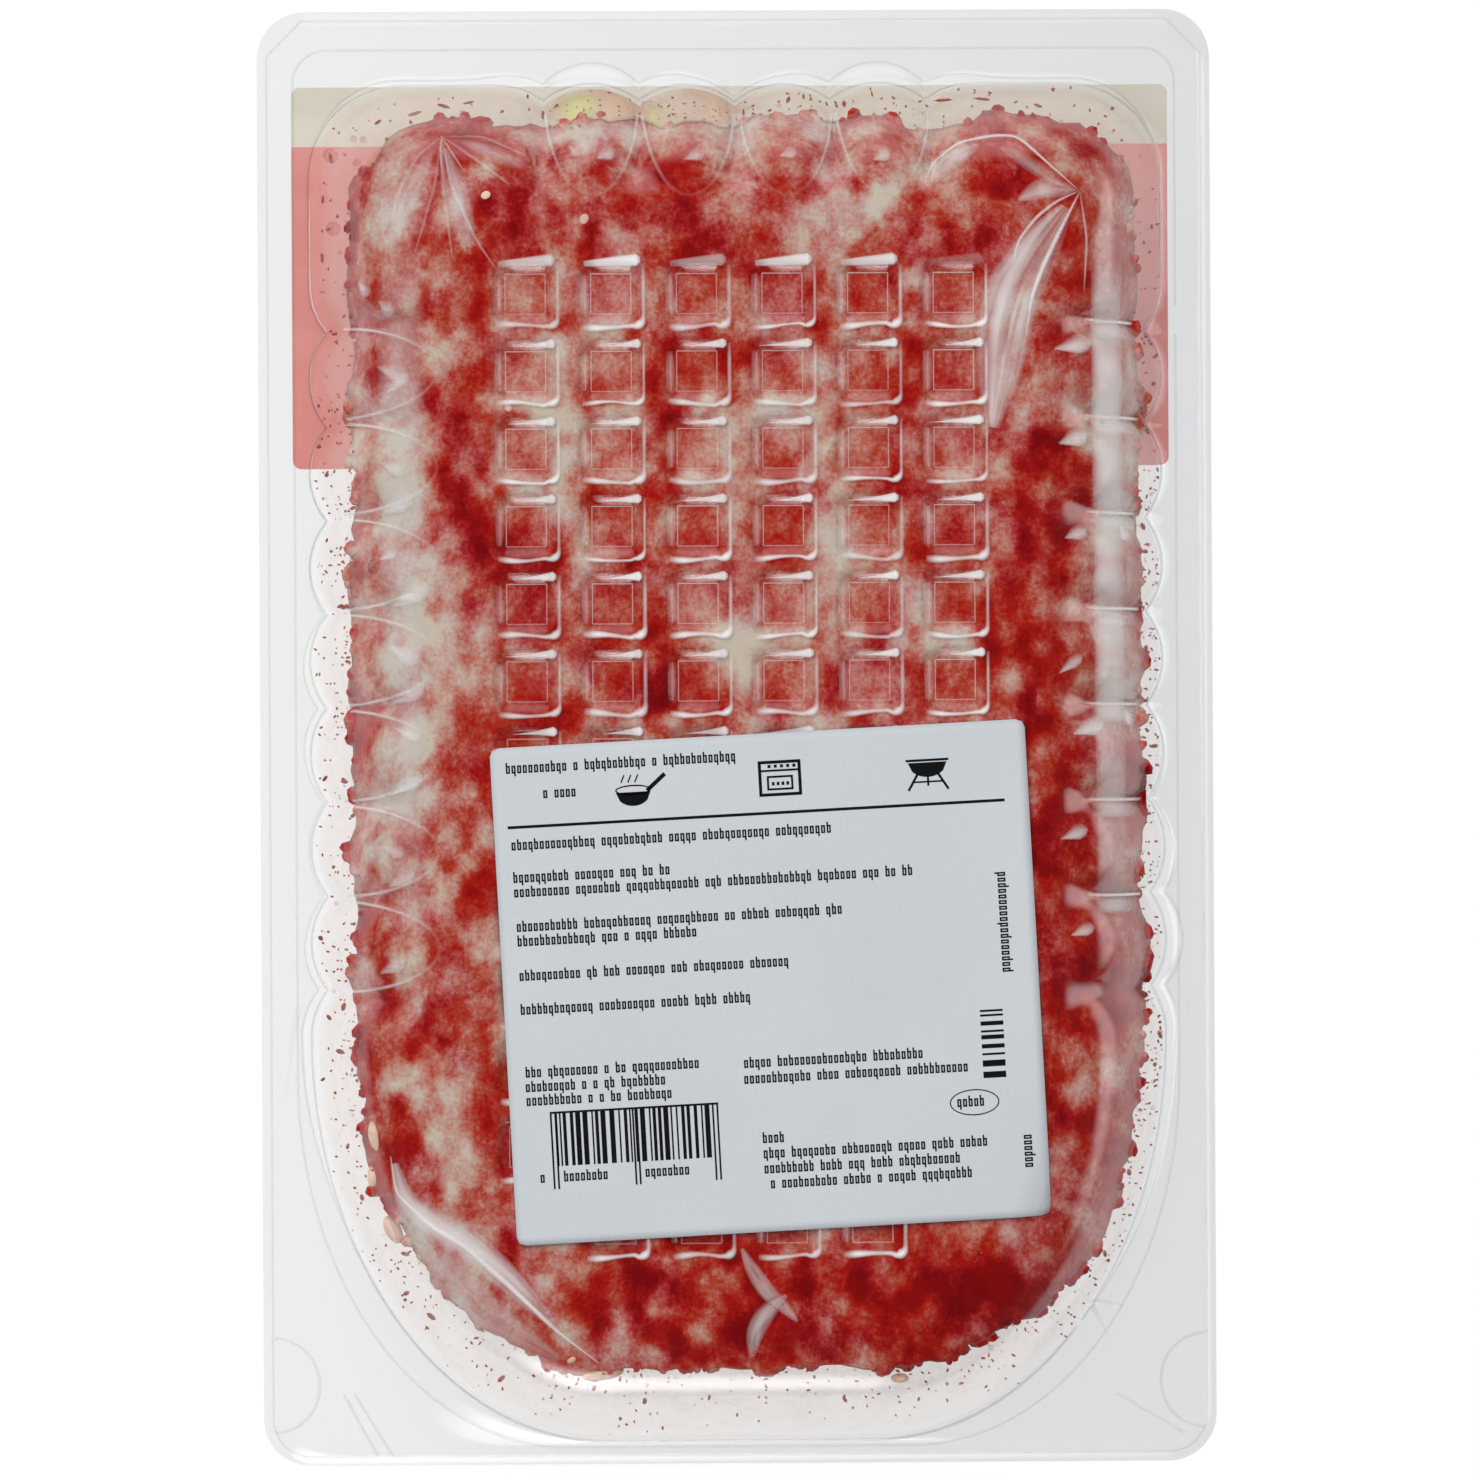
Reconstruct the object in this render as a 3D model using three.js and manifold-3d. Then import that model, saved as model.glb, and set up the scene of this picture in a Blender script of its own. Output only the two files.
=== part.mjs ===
// A sealed tray pack of minced meat, lying on its lid film with the base of the clear tray up.
// Millimetres, +Z up. The origin is the middle of the film's underside, +Y the long way of the pack.
import * as THREE from 'three';
import * as BufferGeometryUtils from 'three/addons/utils/BufferGeometryUtils.js';
import Module from 'manifold-3d';

const wasm = await Module();
wasm.setup();

// Pack
const PACK_WIDTH = 142;
const PACK_LENGTH = 216.5;
const PACK_HEIGHT = 38;
const RIM_CORNER_RADIUS = 7.2;
const GAP = 0.3;

// How far a body that only cuts stands past what it cuts, and the steps of rounded corners
const CUT_MARGIN = 1;
const CORNER_STEPS = 6;

// Lid film
const FILM_THICKNESS = 0.4;

// Rim of the tray, with a raised sealing pad and a peel disc in each lower corner
const WALL = 0.5;
const RIM_BOTTOM = FILM_THICKNESS + GAP;
const RIM_THICKNESS = 0.6;
const PAD_INSET = 1.5;
const PAD_RISE = 0.3;
const PAD_CHAMFER = 5.2;
const PEEL_DISC_RADIUS = 7.45;
const PEEL_DISC_X = 70.8;
const PEEL_DISC_Y = -96.1;
const PEEL_DISC_STEPS = 32;

// Cavity: its mouth in the rim, and the foot outline round the flat of the base, where the walls begin
const MOUTH = { side: 63.3, top: 96.8, bottom: -104.5, topCorner: [14, 14], bottomCorner: [43.3, 60] };
const FOOT = { side: 43, top: 75.4, bottom: -86, topCorner: [10, 10], bottomCorner: [26, 38] };
const DEPTH = PACK_HEIGHT - RIM_BOTTOM;

// Wall section: a plain core with rounded lobes standing out from it, both superellipses
const SIDE_REACH = MOUTH.side - FOOT.side;
const CORE_REACH = 17.5 / SIDE_REACH;
const CORE_POWER = 1.8;
const LOBE_HEIGHT = 36.6 / DEPTH;
const LOBE_POWER = 2.4;
const SCALLOP_DEPTH = 2.5 / SIDE_REACH;
const SCALLOP_DROP = 2.1 / DEPTH;
const SCALLOP_CHORD = 0.62;

// Creases between the lobes
const SIDE_LOBES = 7;
const SIDE_PITCH = 13.92;
const FIRST_SIDE_CREASE = 60.2;
const TOP_LOBES = 4;
const TOP_PITCH = 14.16;
const LOBE_STEPS = 4;
const PLAIN_STEPS = 2;
const TOP_CORNER_STEPS = 5;
const BOTTOM_CORNER_STEPS = 8;
const SECTION_ANGLES = [0, 12, 28, 45, 60, 71, 80, 90];

// Skirt: the wall swells where it meets the rim; each swell has a place, a width and an amount
const SKIRT_HEIGHT = 5;
const SWELL_END = 2.5;
const SWELLS = [
  { x: -21, y: 97, width: 15, amount: 7 },
  { x: 21, y: 97, width: 15, amount: 7 },
  { x: -52, y: 97, width: 12, amount: 2.5 },
  { x: 52, y: 97, width: 12, amount: 2.5 },
  { x: -63, y: 5, width: 14, amount: 2.6 },
  { x: -63, y: -45, width: 22, amount: 3.3 },
  { x: 63, y: -30, width: 18, amount: 5.6 },
  { x: 63, y: -66, width: 18, amount: 3 },
];

// Waffle of square recesses pressed into the base; the last row leaves out its two end columns
const WAFFLE_COLUMNS = 6;
const WAFFLE_ROWS = 13;
const WAFFLE_PITCH_X = 12.4;
const WAFFLE_PITCH_Y = 11.22;
const WAFFLE_FIRST_Y = 64.25;
const WAFFLE_MOUTH = 9.1;
const WAFFLE_FLAT = 5.7;
const WAFFLE_DEPTH = 2;
const WAFFLE_OVERSHOOT = 0.6;

// Minced meat: how far it reaches up each wall, and the mound that it makes towards the film
const MEAT_REACH = { left: 0.655, right: 0.8, top: 0.68, bottom: 0.33 };
const MEAT_EDGE_HEIGHT = 20.5;
const MEAT_MOUND_POWER = 3;
const MEAT_RINGS = 11;
const MEAT_STATION_STEP = 2;
const MEAT_LUMP_SIZE = 10;
const MEAT_LUMP_HEIGHT = 0.9;
const MEAT_LUMP_BEND = 2;
const MEAT_LUMP_BEND_X = 0.31;
const MEAT_LUMP_BEND_Y = 0.23;
const MEAT_LUMP_STRETCH = 0.9;

// Label on the base
const LABEL_WIDTH = 77.5;
const LABEL_LENGTH = 72;
const LABEL_THICKNESS = 0.2;
const LABEL_CORNER_RADIUS = 1.2;
const LABEL_X = 4.0;
const LABEL_Y = -35.5;
const LABEL_TURN = THREE.MathUtils.degToRad(2.9);

// Materials
const clearPlastic = new THREE.MeshStandardMaterial({
  color: 0xe6eaea, roughness: 0.12, metalness: 0, transparent: true, opacity: 0.35,
});
const clearFilm = new THREE.MeshStandardMaterial({
  color: 0xe8ecec, roughness: 0.1, metalness: 0, transparent: true, opacity: 0.3,
});
const mince = new THREE.MeshStandardMaterial({ color: 0xb04840, roughness: 0.4, metalness: 0 });
const labelPaper = new THREE.MeshStandardMaterial({ color: 0xd5dbe0, roughness: 0.6, metalness: 0 });

// Solids from closed meshes, and back
function toSolid(geometry) {
  geometry.deleteAttribute('uv');
  geometry.deleteAttribute('normal');
  const merged = BufferGeometryUtils.mergeVertices(geometry, 1e-4);
  const vertProperties = new Float32Array(merged.attributes.position.array);
  const triVerts = new Uint32Array(merged.index.array);
  return new wasm.Manifold(new wasm.Mesh({ numProp: 3, vertProperties, triVerts }));
}

function toGeometry(solid) {
  const mesh = solid.getMesh();
  const geometry = new THREE.BufferGeometry();
  geometry.setAttribute('position', new THREE.BufferAttribute(mesh.vertProperties, mesh.numProp));
  geometry.setIndex(new THREE.BufferAttribute(mesh.triVerts, 1));
  geometry.computeVertexNormals();
  return geometry;
}

// A closed body through rings of points, each ring anticlockwise seen from above, the lowest ring first
function loft(rings) {
  const count = rings[0].length;
  const positions = rings.flat().flatMap((point) => [point.x, point.y, point.z]);
  const indices = [];
  for (let level = 0; level < rings.length - 1; level += 1) {
    for (let i = 0; i < count; i += 1) {
      const a = level * count + i;
      const b = level * count + ((i + 1) % count);
      indices.push(a, b, b + count, a, b + count, a + count);
    }
  }
  const top = (rings.length - 1) * count;
  const outline = (ring) => ring.map((point) => new THREE.Vector2(point.x, point.y));
  for (const [a, b, c] of THREE.ShapeUtils.triangulateShape(outline(rings.at(-1)), [])) {
    indices.push(top + a, top + b, top + c);
  }
  for (const [a, b, c] of THREE.ShapeUtils.triangulateShape(outline(rings[0]), [])) {
    indices.push(c, b, a);
  }
  const geometry = new THREE.BufferGeometry();
  geometry.setAttribute('position', new THREE.Float32BufferAttribute(positions, 3));
  geometry.setIndex(indices);
  return geometry;
}

function extrude(shape, bottom, height) {
  const options = { depth: height, bevelEnabled: false, curveSegments: CORNER_STEPS };
  const geometry = new THREE.ExtrudeGeometry(shape, options);
  return geometry.translate(0, 0, bottom);
}

function roundedRectangle(width, length, radius) {
  const x = width / 2;
  const y = length / 2;
  const shape = new THREE.Shape();
  shape.moveTo(x, -y + radius);
  shape.lineTo(x, y - radius);
  shape.absarc(x - radius, y - radius, radius, 0, Math.PI / 2);
  shape.lineTo(-x + radius, y);
  shape.absarc(-x + radius, y - radius, radius, Math.PI / 2, Math.PI);
  shape.lineTo(-x, -y + radius);
  shape.absarc(-x + radius, -y + radius, radius, Math.PI, 1.5 * Math.PI);
  shape.lineTo(x - radius, -y);
  shape.absarc(x - radius, -y + radius, radius, 1.5 * Math.PI, 2 * Math.PI);
  return shape;
}

// Points between two places on a straight side, without the last
function side(from, to, steps) {
  return Array.from({ length: steps }, (_, i) => new THREE.Vector2().lerpVectors(from, to, i / steps));
}

// Points of a quarter ellipse, without the last
function corner(centre, [radiusX, radiusY], start, steps) {
  return Array.from({ length: steps }, (_, i) => {
    const angle = start + (i / steps) * (Math.PI / 2);
    return new THREE.Vector2(centre.x + radiusX * Math.cos(angle), centre.y + radiusY * Math.sin(angle));
  });
}

// The outline of the mouth or the foot, anticlockwise from the lower end of the right side. The two have
// the same stations, so the wall runs straight out from one to the other.
function outline({ side: x, top, bottom, topCorner, bottomCorner }) {
  const at = (px, py) => new THREE.Vector2(px, py);
  const sideLow = FIRST_SIDE_CREASE - SIDE_LOBES * SIDE_PITCH;
  const topEnd = (TOP_LOBES / 2) * TOP_PITCH;
  const cornerLow = bottom + bottomCorner[1];
  return [
    ...side(at(x, cornerLow), at(x, sideLow), PLAIN_STEPS),
    ...side(at(x, sideLow), at(x, FIRST_SIDE_CREASE), SIDE_LOBES * LOBE_STEPS),
    ...side(at(x, FIRST_SIDE_CREASE), at(x, top - topCorner[1]), PLAIN_STEPS),
    ...corner(at(x - topCorner[0], top - topCorner[1]), topCorner, 0, TOP_CORNER_STEPS),
    ...side(at(x - topCorner[0], top), at(topEnd, top), PLAIN_STEPS),
    ...side(at(topEnd, top), at(-topEnd, top), TOP_LOBES * LOBE_STEPS),
    ...side(at(-topEnd, top), at(-x + topCorner[0], top), PLAIN_STEPS),
    ...corner(at(-x + topCorner[0], top - topCorner[1]), topCorner, Math.PI / 2, TOP_CORNER_STEPS),
    ...side(at(-x, top - topCorner[1]), at(-x, FIRST_SIDE_CREASE), PLAIN_STEPS),
    ...side(at(-x, FIRST_SIDE_CREASE), at(-x, sideLow), SIDE_LOBES * LOBE_STEPS),
    ...side(at(-x, sideLow), at(-x, cornerLow), PLAIN_STEPS),
    ...corner(at(-x + bottomCorner[0], cornerLow), bottomCorner, Math.PI, BOTTOM_CORNER_STEPS),
    at(-x + bottomCorner[0], bottom),
    ...corner(at(x - bottomCorner[0], cornerLow), bottomCorner, 1.5 * Math.PI, BOTTOM_CORNER_STEPS),
  ];
}

function creasePoints() {
  const sideCreases = Array.from({ length: SIDE_LOBES + 1 }, (_, k) => FIRST_SIDE_CREASE - k * SIDE_PITCH);
  const topCreases = Array.from({ length: TOP_LOBES + 1 }, (_, k) => (k - TOP_LOBES / 2) * TOP_PITCH);
  return [
    ...sideCreases.flatMap((y) => [new THREE.Vector2(MOUTH.side, y), new THREE.Vector2(-MOUTH.side, y)]),
    ...topCreases.map((x) => new THREE.Vector2(x, MOUTH.top)),
  ];
}

// Each station of the walls: foot and mouth points, the outward direction, the depth of the scallop
// there (0 on the crown of a lobe, 1 in a crease) and the swell of the skirt.
function wallStations() {
  const creases = creasePoints();
  const feet = outline(FOOT);
  return outline(MOUTH).map((mouth, i) => {
    const nearest = Math.min(...creases.map((crease) => crease.distanceTo(mouth)));
    const across = Math.max(0, 1 - nearest / (SIDE_PITCH / 2));
    const arc = (t) => 1 - Math.sqrt(1 - (SCALLOP_CHORD * t) ** 2);
    const swell = SWELLS.reduce((sum, { x, y, width, amount }) => {
      const distance = mouth.distanceTo(new THREE.Vector2(x, y));
      return distance > SWELL_END * width ? sum : sum + amount * Math.exp(-((distance / width) ** 2));
    }, 0);
    const outward = mouth.clone().sub(feet[i]);
    const reach = outward.length();
    return { foot: feet[i], outward: outward.normalize(), reach, scallop: arc(across) / arc(1), swell };
  });
}

// Distance of a superellipse from its middle in one direction of its quadrant
function superellipse(halfWidth, height, power, angle) {
  const sum = (Math.cos(angle) / halfWidth) ** power + (Math.sin(angle) / height) ** power;
  return sum ** (-1 / power);
}

// A point of the wall's section: the farther of core and lobe, moved in by an inset
function wallPoint(station, angle, inset) {
  const inward = inset / station.reach;
  const down = inset / DEPTH;
  const core = superellipse(CORE_REACH - inward, 1 - down, CORE_POWER, angle);
  const lobeReach = 1 - SCALLOP_DEPTH * station.scallop - inward;
  const lobeHeight = LOBE_HEIGHT - SCALLOP_DROP * station.scallop - down;
  const lobe = superellipse(lobeReach, lobeHeight, LOBE_POWER, angle);
  const out = Math.max(core, lobe);
  const height = DEPTH * out * Math.sin(angle);
  const skirt = station.swell * Math.max(0, 1 - height / SKIRT_HEIGHT) ** 2;
  const run = station.reach * out * Math.cos(angle) + skirt;
  const place = station.foot.clone().addScaledVector(station.outward, run);
  return new THREE.Vector3(place.x, place.y, RIM_BOTTOM + height);
}

// The body of the tray or of its cavity, from a level inside or under the rim to the flat of the base
function cavityBody(stations, inset, startLevel) {
  const rings = SECTION_ANGLES.map((degrees) => {
    const angle = THREE.MathUtils.degToRad(degrees);
    return stations.map((station) => wallPoint(station, angle, inset));
  });
  for (const point of rings[0]) point.z = startLevel;
  return toSolid(loft(rings));
}

// The blunt pyramids that press the waffle into the base, grown and lowered with each layer inwards
function waffle(inset) {
  const slope = (WAFFLE_MOUTH - WAFFLE_FLAT) / 2 / WAFFLE_DEPTH;
  const grow = 2 * inset * (Math.hypot(1, slope) - slope);
  const mouth = WAFFLE_MOUTH + grow + 2 * slope * WAFFLE_OVERSHOOT;
  const flat = WAFFLE_FLAT + grow;
  const height = WAFFLE_DEPTH + WAFFLE_OVERSHOOT;
  const pieces = [];
  for (let row = 0; row < WAFFLE_ROWS; row += 1) {
    const skipped = row === WAFFLE_ROWS - 1 ? 1 : 0;
    for (let column = skipped; column < WAFFLE_COLUMNS - skipped; column += 1) {
      const pyramid = new THREE.CylinderGeometry(mouth / Math.SQRT2, flat / Math.SQRT2, height, 4);
      pyramid.rotateY(Math.PI / 4);
      pyramid.rotateX(Math.PI / 2);
      const x = (column - (WAFFLE_COLUMNS - 1) / 2) * WAFFLE_PITCH_X;
      const y = WAFFLE_FIRST_Y - row * WAFFLE_PITCH_Y;
      pyramid.translate(x, y, PACK_HEIGHT - inset - WAFFLE_DEPTH + height / 2);
      pieces.push(pyramid);
    }
  }
  return toSolid(BufferGeometryUtils.mergeGeometries(pieces));
}

// The rim plate with its raised pad, which has cut upper corners and stays clear of the peel discs
function rim() {
  const plateShape = roundedRectangle(PACK_WIDTH, PACK_LENGTH, RIM_CORNER_RADIUS);
  const plate = toSolid(extrude(plateShape, RIM_BOTTOM, RIM_THICKNESS));
  const x = PACK_WIDTH / 2 - PAD_INSET;
  const y = PACK_LENGTH / 2 - PAD_INSET;
  const radius = RIM_CORNER_RADIUS - PAD_INSET;
  const padShape = new THREE.Shape();
  padShape.moveTo(x, -y + radius);
  padShape.lineTo(x, y - PAD_CHAMFER);
  padShape.lineTo(x - PAD_CHAMFER, y);
  padShape.lineTo(-x + PAD_CHAMFER, y);
  padShape.lineTo(-x, y - PAD_CHAMFER);
  padShape.lineTo(-x, -y + radius);
  padShape.absarc(-x + radius, -y + radius, radius, Math.PI, 1.5 * Math.PI);
  padShape.lineTo(x - radius, -y);
  padShape.absarc(x - radius, -y + radius, radius, 1.5 * Math.PI, 2 * Math.PI);
  const overlap = RIM_THICKNESS / 2;
  let pad = toSolid(extrude(padShape, RIM_BOTTOM + overlap, RIM_THICKNESS - overlap + PAD_RISE));
  const discHeight = RIM_THICKNESS + 2 * CUT_MARGIN;
  for (const direction of [-1, 1]) {
    const disc = new THREE.CylinderGeometry(PEEL_DISC_RADIUS, PEEL_DISC_RADIUS, discHeight, PEEL_DISC_STEPS);
    disc.rotateX(Math.PI / 2);
    disc.translate(direction * PEEL_DISC_X, PEEL_DISC_Y, RIM_BOTTOM + RIM_THICKNESS);
    pad = pad.subtract(toSolid(disc));
  }
  return plate.add(pad);
}

function tray(stations) {
  const outside = cavityBody(stations, 0, RIM_BOTTOM + RIM_THICKNESS / 2).subtract(waffle(0));
  const inside = cavityBody(stations, WALL, RIM_BOTTOM - CUT_MARGIN).subtract(waffle(WALL));
  return toGeometry(rim().add(outside).subtract(inside));
}

function lidFilm() {
  return extrude(roundedRectangle(PACK_WIDTH, PACK_LENGTH, RIM_CORNER_RADIUS), 0, FILM_THICKNESS);
}

// How far the meat reaches between foot and mouth, from its reach on each of the four walls
function meatReach({ x, y }) {
  const across = x > 0 ? MEAT_REACH.right : MEAT_REACH.left;
  const along = y > 0 ? MEAT_REACH.top : MEAT_REACH.bottom;
  return across * x * x + along * y * y;
}

// Lumps as large as a clump of strands, from crossed waves that don't line up
function lumps(x, y) {
  const wave = (2 * Math.PI) / MEAT_LUMP_SIZE;
  const turns = Math.sin(wave * MEAT_LUMP_BEND_X * x) + Math.cos(wave * MEAT_LUMP_BEND_Y * y);
  const bend = MEAT_LUMP_BEND * turns;
  return Math.sin(wave * x + bend) * Math.sin(wave * y * MEAT_LUMP_STRETCH - bend);
}

// The heap: a mound towards the film, straight ragged sides, and above them the shape of the tray
function meat(stations) {
  const lowest = FILM_THICKNESS + GAP + MEAT_LUMP_HEIGHT;
  const used = stations.filter((_, i) => i % MEAT_STATION_STEP === 0);
  const edge = used.map(({ foot, outward, reach }) => {
    const place = foot.clone().addScaledVector(outward, reach * meatReach(outward));
    return place.addScaledVector(outward, MEAT_LUMP_HEIGHT * lumps(place.y, place.x));
  });
  const rings = [];
  for (let i = 1; i <= MEAT_RINGS; i += 1) {
    const share = i / MEAT_RINGS;
    const rise = (MEAT_EDGE_HEIGHT - lowest) * share ** MEAT_MOUND_POWER;
    rings.push(edge.map(({ x, y }) => {
      const lump = MEAT_LUMP_HEIGHT * lumps(x * share, y * share);
      return new THREE.Vector3(x * share, y * share, lowest + rise + lump);
    }));
  }
  rings.push(edge.map(({ x, y }) => new THREE.Vector3(x, y, PACK_HEIGHT + CUT_MARGIN)));
  const space = cavityBody(stations, WALL + GAP, RIM_BOTTOM - CUT_MARGIN).subtract(waffle(WALL + GAP));
  return toGeometry(toSolid(loft(rings)).intersect(space));
}

// The label follows the base and bends down over its edge, a gap above the plastic
function baseLabel(stations) {
  const sheet = roundedRectangle(LABEL_WIDTH, LABEL_LENGTH, LABEL_CORNER_RADIUS);
  const cutter = extrude(sheet, PACK_HEIGHT / 2, PACK_HEIGHT);
  cutter.rotateZ(LABEL_TURN);
  cutter.translate(LABEL_X, LABEL_Y, 0);
  const upper = cavityBody(stations, -GAP - LABEL_THICKNESS, RIM_BOTTOM);
  const lower = cavityBody(stations, -GAP, RIM_BOTTOM - CUT_MARGIN);
  return toGeometry(upper.subtract(lower).intersect(toSolid(cutter)));
}

const stations = wallStations();

const trayMesh = new THREE.Mesh(tray(stations), clearPlastic);
trayMesh.name = 'tray';

const filmMesh = new THREE.Mesh(lidFilm(), clearFilm);
filmMesh.name = 'lid_film';

const meatMesh = new THREE.Mesh(meat(stations), mince);
meatMesh.name = 'meat';

const labelMesh = new THREE.Mesh(baseLabel(stations), labelPaper);
labelMesh.name = 'base_label';

const pack = new THREE.Group();
pack.add(trayMesh, filmMesh, meatMesh, labelMesh);

export default pack;
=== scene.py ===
import math

import bpy
import numpy as np
from mathutils import Matrix, Vector


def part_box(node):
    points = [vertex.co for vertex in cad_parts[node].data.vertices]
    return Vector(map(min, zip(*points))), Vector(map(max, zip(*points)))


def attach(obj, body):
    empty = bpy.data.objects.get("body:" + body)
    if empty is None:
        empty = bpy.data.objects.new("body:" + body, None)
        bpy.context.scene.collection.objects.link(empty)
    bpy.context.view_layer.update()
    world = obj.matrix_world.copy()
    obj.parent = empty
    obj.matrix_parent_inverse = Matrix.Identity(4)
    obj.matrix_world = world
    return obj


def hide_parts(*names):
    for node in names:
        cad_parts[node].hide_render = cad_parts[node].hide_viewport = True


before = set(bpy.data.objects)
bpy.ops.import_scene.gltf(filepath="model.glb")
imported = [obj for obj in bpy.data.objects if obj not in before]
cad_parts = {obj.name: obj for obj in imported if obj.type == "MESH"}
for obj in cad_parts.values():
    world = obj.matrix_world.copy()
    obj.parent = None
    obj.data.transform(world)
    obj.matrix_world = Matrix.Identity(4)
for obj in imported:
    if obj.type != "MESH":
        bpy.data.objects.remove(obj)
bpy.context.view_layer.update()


# Camera
# The photograph looks straight down on the base of the pack from about 1.3 m, from a point a
# little left of its middle, and the pack lies turned by a third of a degree in the picture.
PHOTO_PIXELS = 1474
PHOTO_MM_A_PIXEL = 0.149
MM_A_METRE = 1000
CAMERA_HEIGHT = 1.3
CAMERA_LEFT = 0.024
CAMERA_ROLL = math.radians(0.32)

camera_data = bpy.data.cameras.new("photo_camera")
camera_data.sensor_width = 36
photo_width = PHOTO_MM_A_PIXEL / MM_A_METRE * PHOTO_PIXELS
camera_data.lens = camera_data.sensor_width * CAMERA_HEIGHT / photo_width
camera_data.clip_end = 20
camera = bpy.data.objects.new("photo_camera", camera_data)
camera.location = (-CAMERA_LEFT, 0, CAMERA_HEIGHT)
back = camera.location.normalized()
right = Vector((0, 1, 0)).cross(back)
turn = Matrix((right, back.cross(right), back)).transposed() @ Matrix.Rotation(-CAMERA_ROLL, 3, "Z")
camera.matrix_world = Matrix.Translation(camera.location) @ turn.to_4x4()
bpy.context.collection.objects.link(camera)
bpy.context.scene.camera = camera


# Clear moulded tray
# A sheet of clear plastic about half a millimetre thick, drawn down into a mould: a flat rim, walls
# with rounded lobes, and a base pressed with a waffle of square recesses. It lies base up.
RIM_BOTTOM = 0.7
RIM_THICKNESS = 0.6
RIM_EDGE = 0.1
WALL = 0.5
PACK_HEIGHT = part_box("tray")[1].z * MM_A_METRE
RIM_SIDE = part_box("tray")[1].x * MM_A_METRE
RIM_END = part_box("tray")[1].y * MM_A_METRE
DEPTH = PACK_HEIGHT - RIM_BOTTOM

MOUTH = {"side": 63.3, "top": 96.8, "bottom": -104.5, "top_corner": (14, 14), "bottom_corner": (43.3, 60)}
FOOT = {"side": 43, "top": 75.4, "bottom": -86, "top_corner": (10, 10), "bottom_corner": (26, 38)}
RIM_CORNER = 7.2
RIM = {"side": RIM_SIDE, "top": RIM_END, "bottom": -RIM_END,
       "top_corner": (RIM_CORNER, RIM_CORNER), "bottom_corner": (RIM_CORNER, RIM_CORNER)}

SIDE_LOBES = 7
SIDE_PITCH = 13.92
FIRST_CREASE = 60.2
LAST_CREASE = FIRST_CREASE - SIDE_LOBES * SIDE_PITCH
TOP_LOBES = 4
TOP_PITCH = 14.16
TOP_END = TOP_LOBES * TOP_PITCH / 2

WAFFLE_COLUMNS = 6
WAFFLE_ROWS = 13
WAFFLE_PITCH = (12.4, 11.22)
WAFFLE_TOP_ROW = 64.25
WAFFLE_MOUTH = 9.1
WAFFLE_FLAT = 5.7
WAFFLE_DEPTH = 1.5
WAFFLE_EASE = 0.02
WAFFLE_SQUARENESS = 5.5
WAFFLE_INSET_SHARE = 0.46
CORNER_SQUEEZE = 0.4

CORNERS = {3: 0.0, 7: 0.5, 11: 1.0, 13: 1.5}
RUNS = 14


def outline(size, u, chamfered=False):
    """Points of an outline made of straight runs and corners; a run or corner is one unit of u. It goes
    anticlockwise from the lower end of the right side. A corner is a quarter ellipse, or a straight cut."""
    x, top, bottom = size["side"], size["top"], size["bottom"]
    (rx, ry), (qx, qy) = size["top_corner"], size["bottom_corner"]
    joints = np.array([
        (x, bottom + qy), (x, LAST_CREASE), (x, FIRST_CREASE), (x, top - ry), (x - rx, top), (TOP_END, top),
        (-TOP_END, top), (-x + rx, top), (-x, top - ry), (-x, FIRST_CREASE), (-x, LAST_CREASE),
        (-x, bottom + qy), (-x + qx, bottom), (x - qx, bottom), (x, bottom + qy),
    ])
    run = np.floor(u).astype(int) % RUNS
    share = (u - np.floor(u))[..., None]
    points = joints[run] * (1 - share) + joints[run + 1] * share
    for corner, start in CORNERS.items():
        here = run == corner
        radii = np.array((rx, ry) if corner < 8 else (qx, qy))
        if chamfered and corner < 8:
            continue
        angle = (start + share[..., 0] / 2) * np.pi
        way = np.stack([np.cos(angle), np.sin(angle)], -1)
        centre = np.array([(x - radii[0]) * (1 if corner in (3, 13) else -1),
                           top - radii[1] if corner < 8 else bottom + radii[1]])
        points[here] = (centre + radii * way)[here]
    return points


def even(start, end, count):
    """Stations from start to end, evenly spaced along the mouth, both ends included."""
    fine = np.linspace(start, end, 600)
    steps = np.linalg.norm(np.diff(outline(MOUTH, fine), axis=0), axis=1)
    length = np.concatenate([[0], np.cumsum(steps)])
    return np.interp(np.linspace(0, length[-1], count), length, fine)


def snapped(stations, marks):
    """The stations, with the one nearest to each mark moved onto it."""
    stations = stations.copy()
    stations[np.abs(stations[:, None] - marks).argmin(0)] = marks
    return stations


# Lines of the base's grid: they run along both edges of each sloping side of every recess.
RECESS_LINES = np.array([-5.15, -4.8, -4.4, -3.75, -3.1, -2.7, -1.4, 0, 1.4, 2.7, 3.1, 3.75, 4.4, 4.8, 5.15])
column_places = (np.arange(WAFFLE_COLUMNS) - (WAFFLE_COLUMNS - 1) / 2) * WAFFLE_PITCH[0]
row_places = (WAFFLE_TOP_ROW - np.arange(WAFFLE_ROWS) * WAFFLE_PITCH[1])[::-1]


def base_lines(places, pitch, low_margin, high_margin):
    """Grid lines through a row of recesses, the borders between them, and evenly past both ends."""
    borders = np.append(places - pitch / 2, places[-1] + pitch / 2)
    lines = np.concatenate([(places[:, None] + RECESS_LINES).ravel(), borders])
    return np.sort(np.concatenate([lines, borders[0] - low_margin, borders[-1] + high_margin]))


base_x = base_lines(column_places, WAFFLE_PITCH[0], np.array([0.8, 1.6, 2.4]), np.array([0.8, 1.6, 2.4]))
base_y = base_lines(row_places, WAFFLE_PITCH[1], np.arange(1, 7) * 1.0, np.arange(1, 5) * 0.7)

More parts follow.
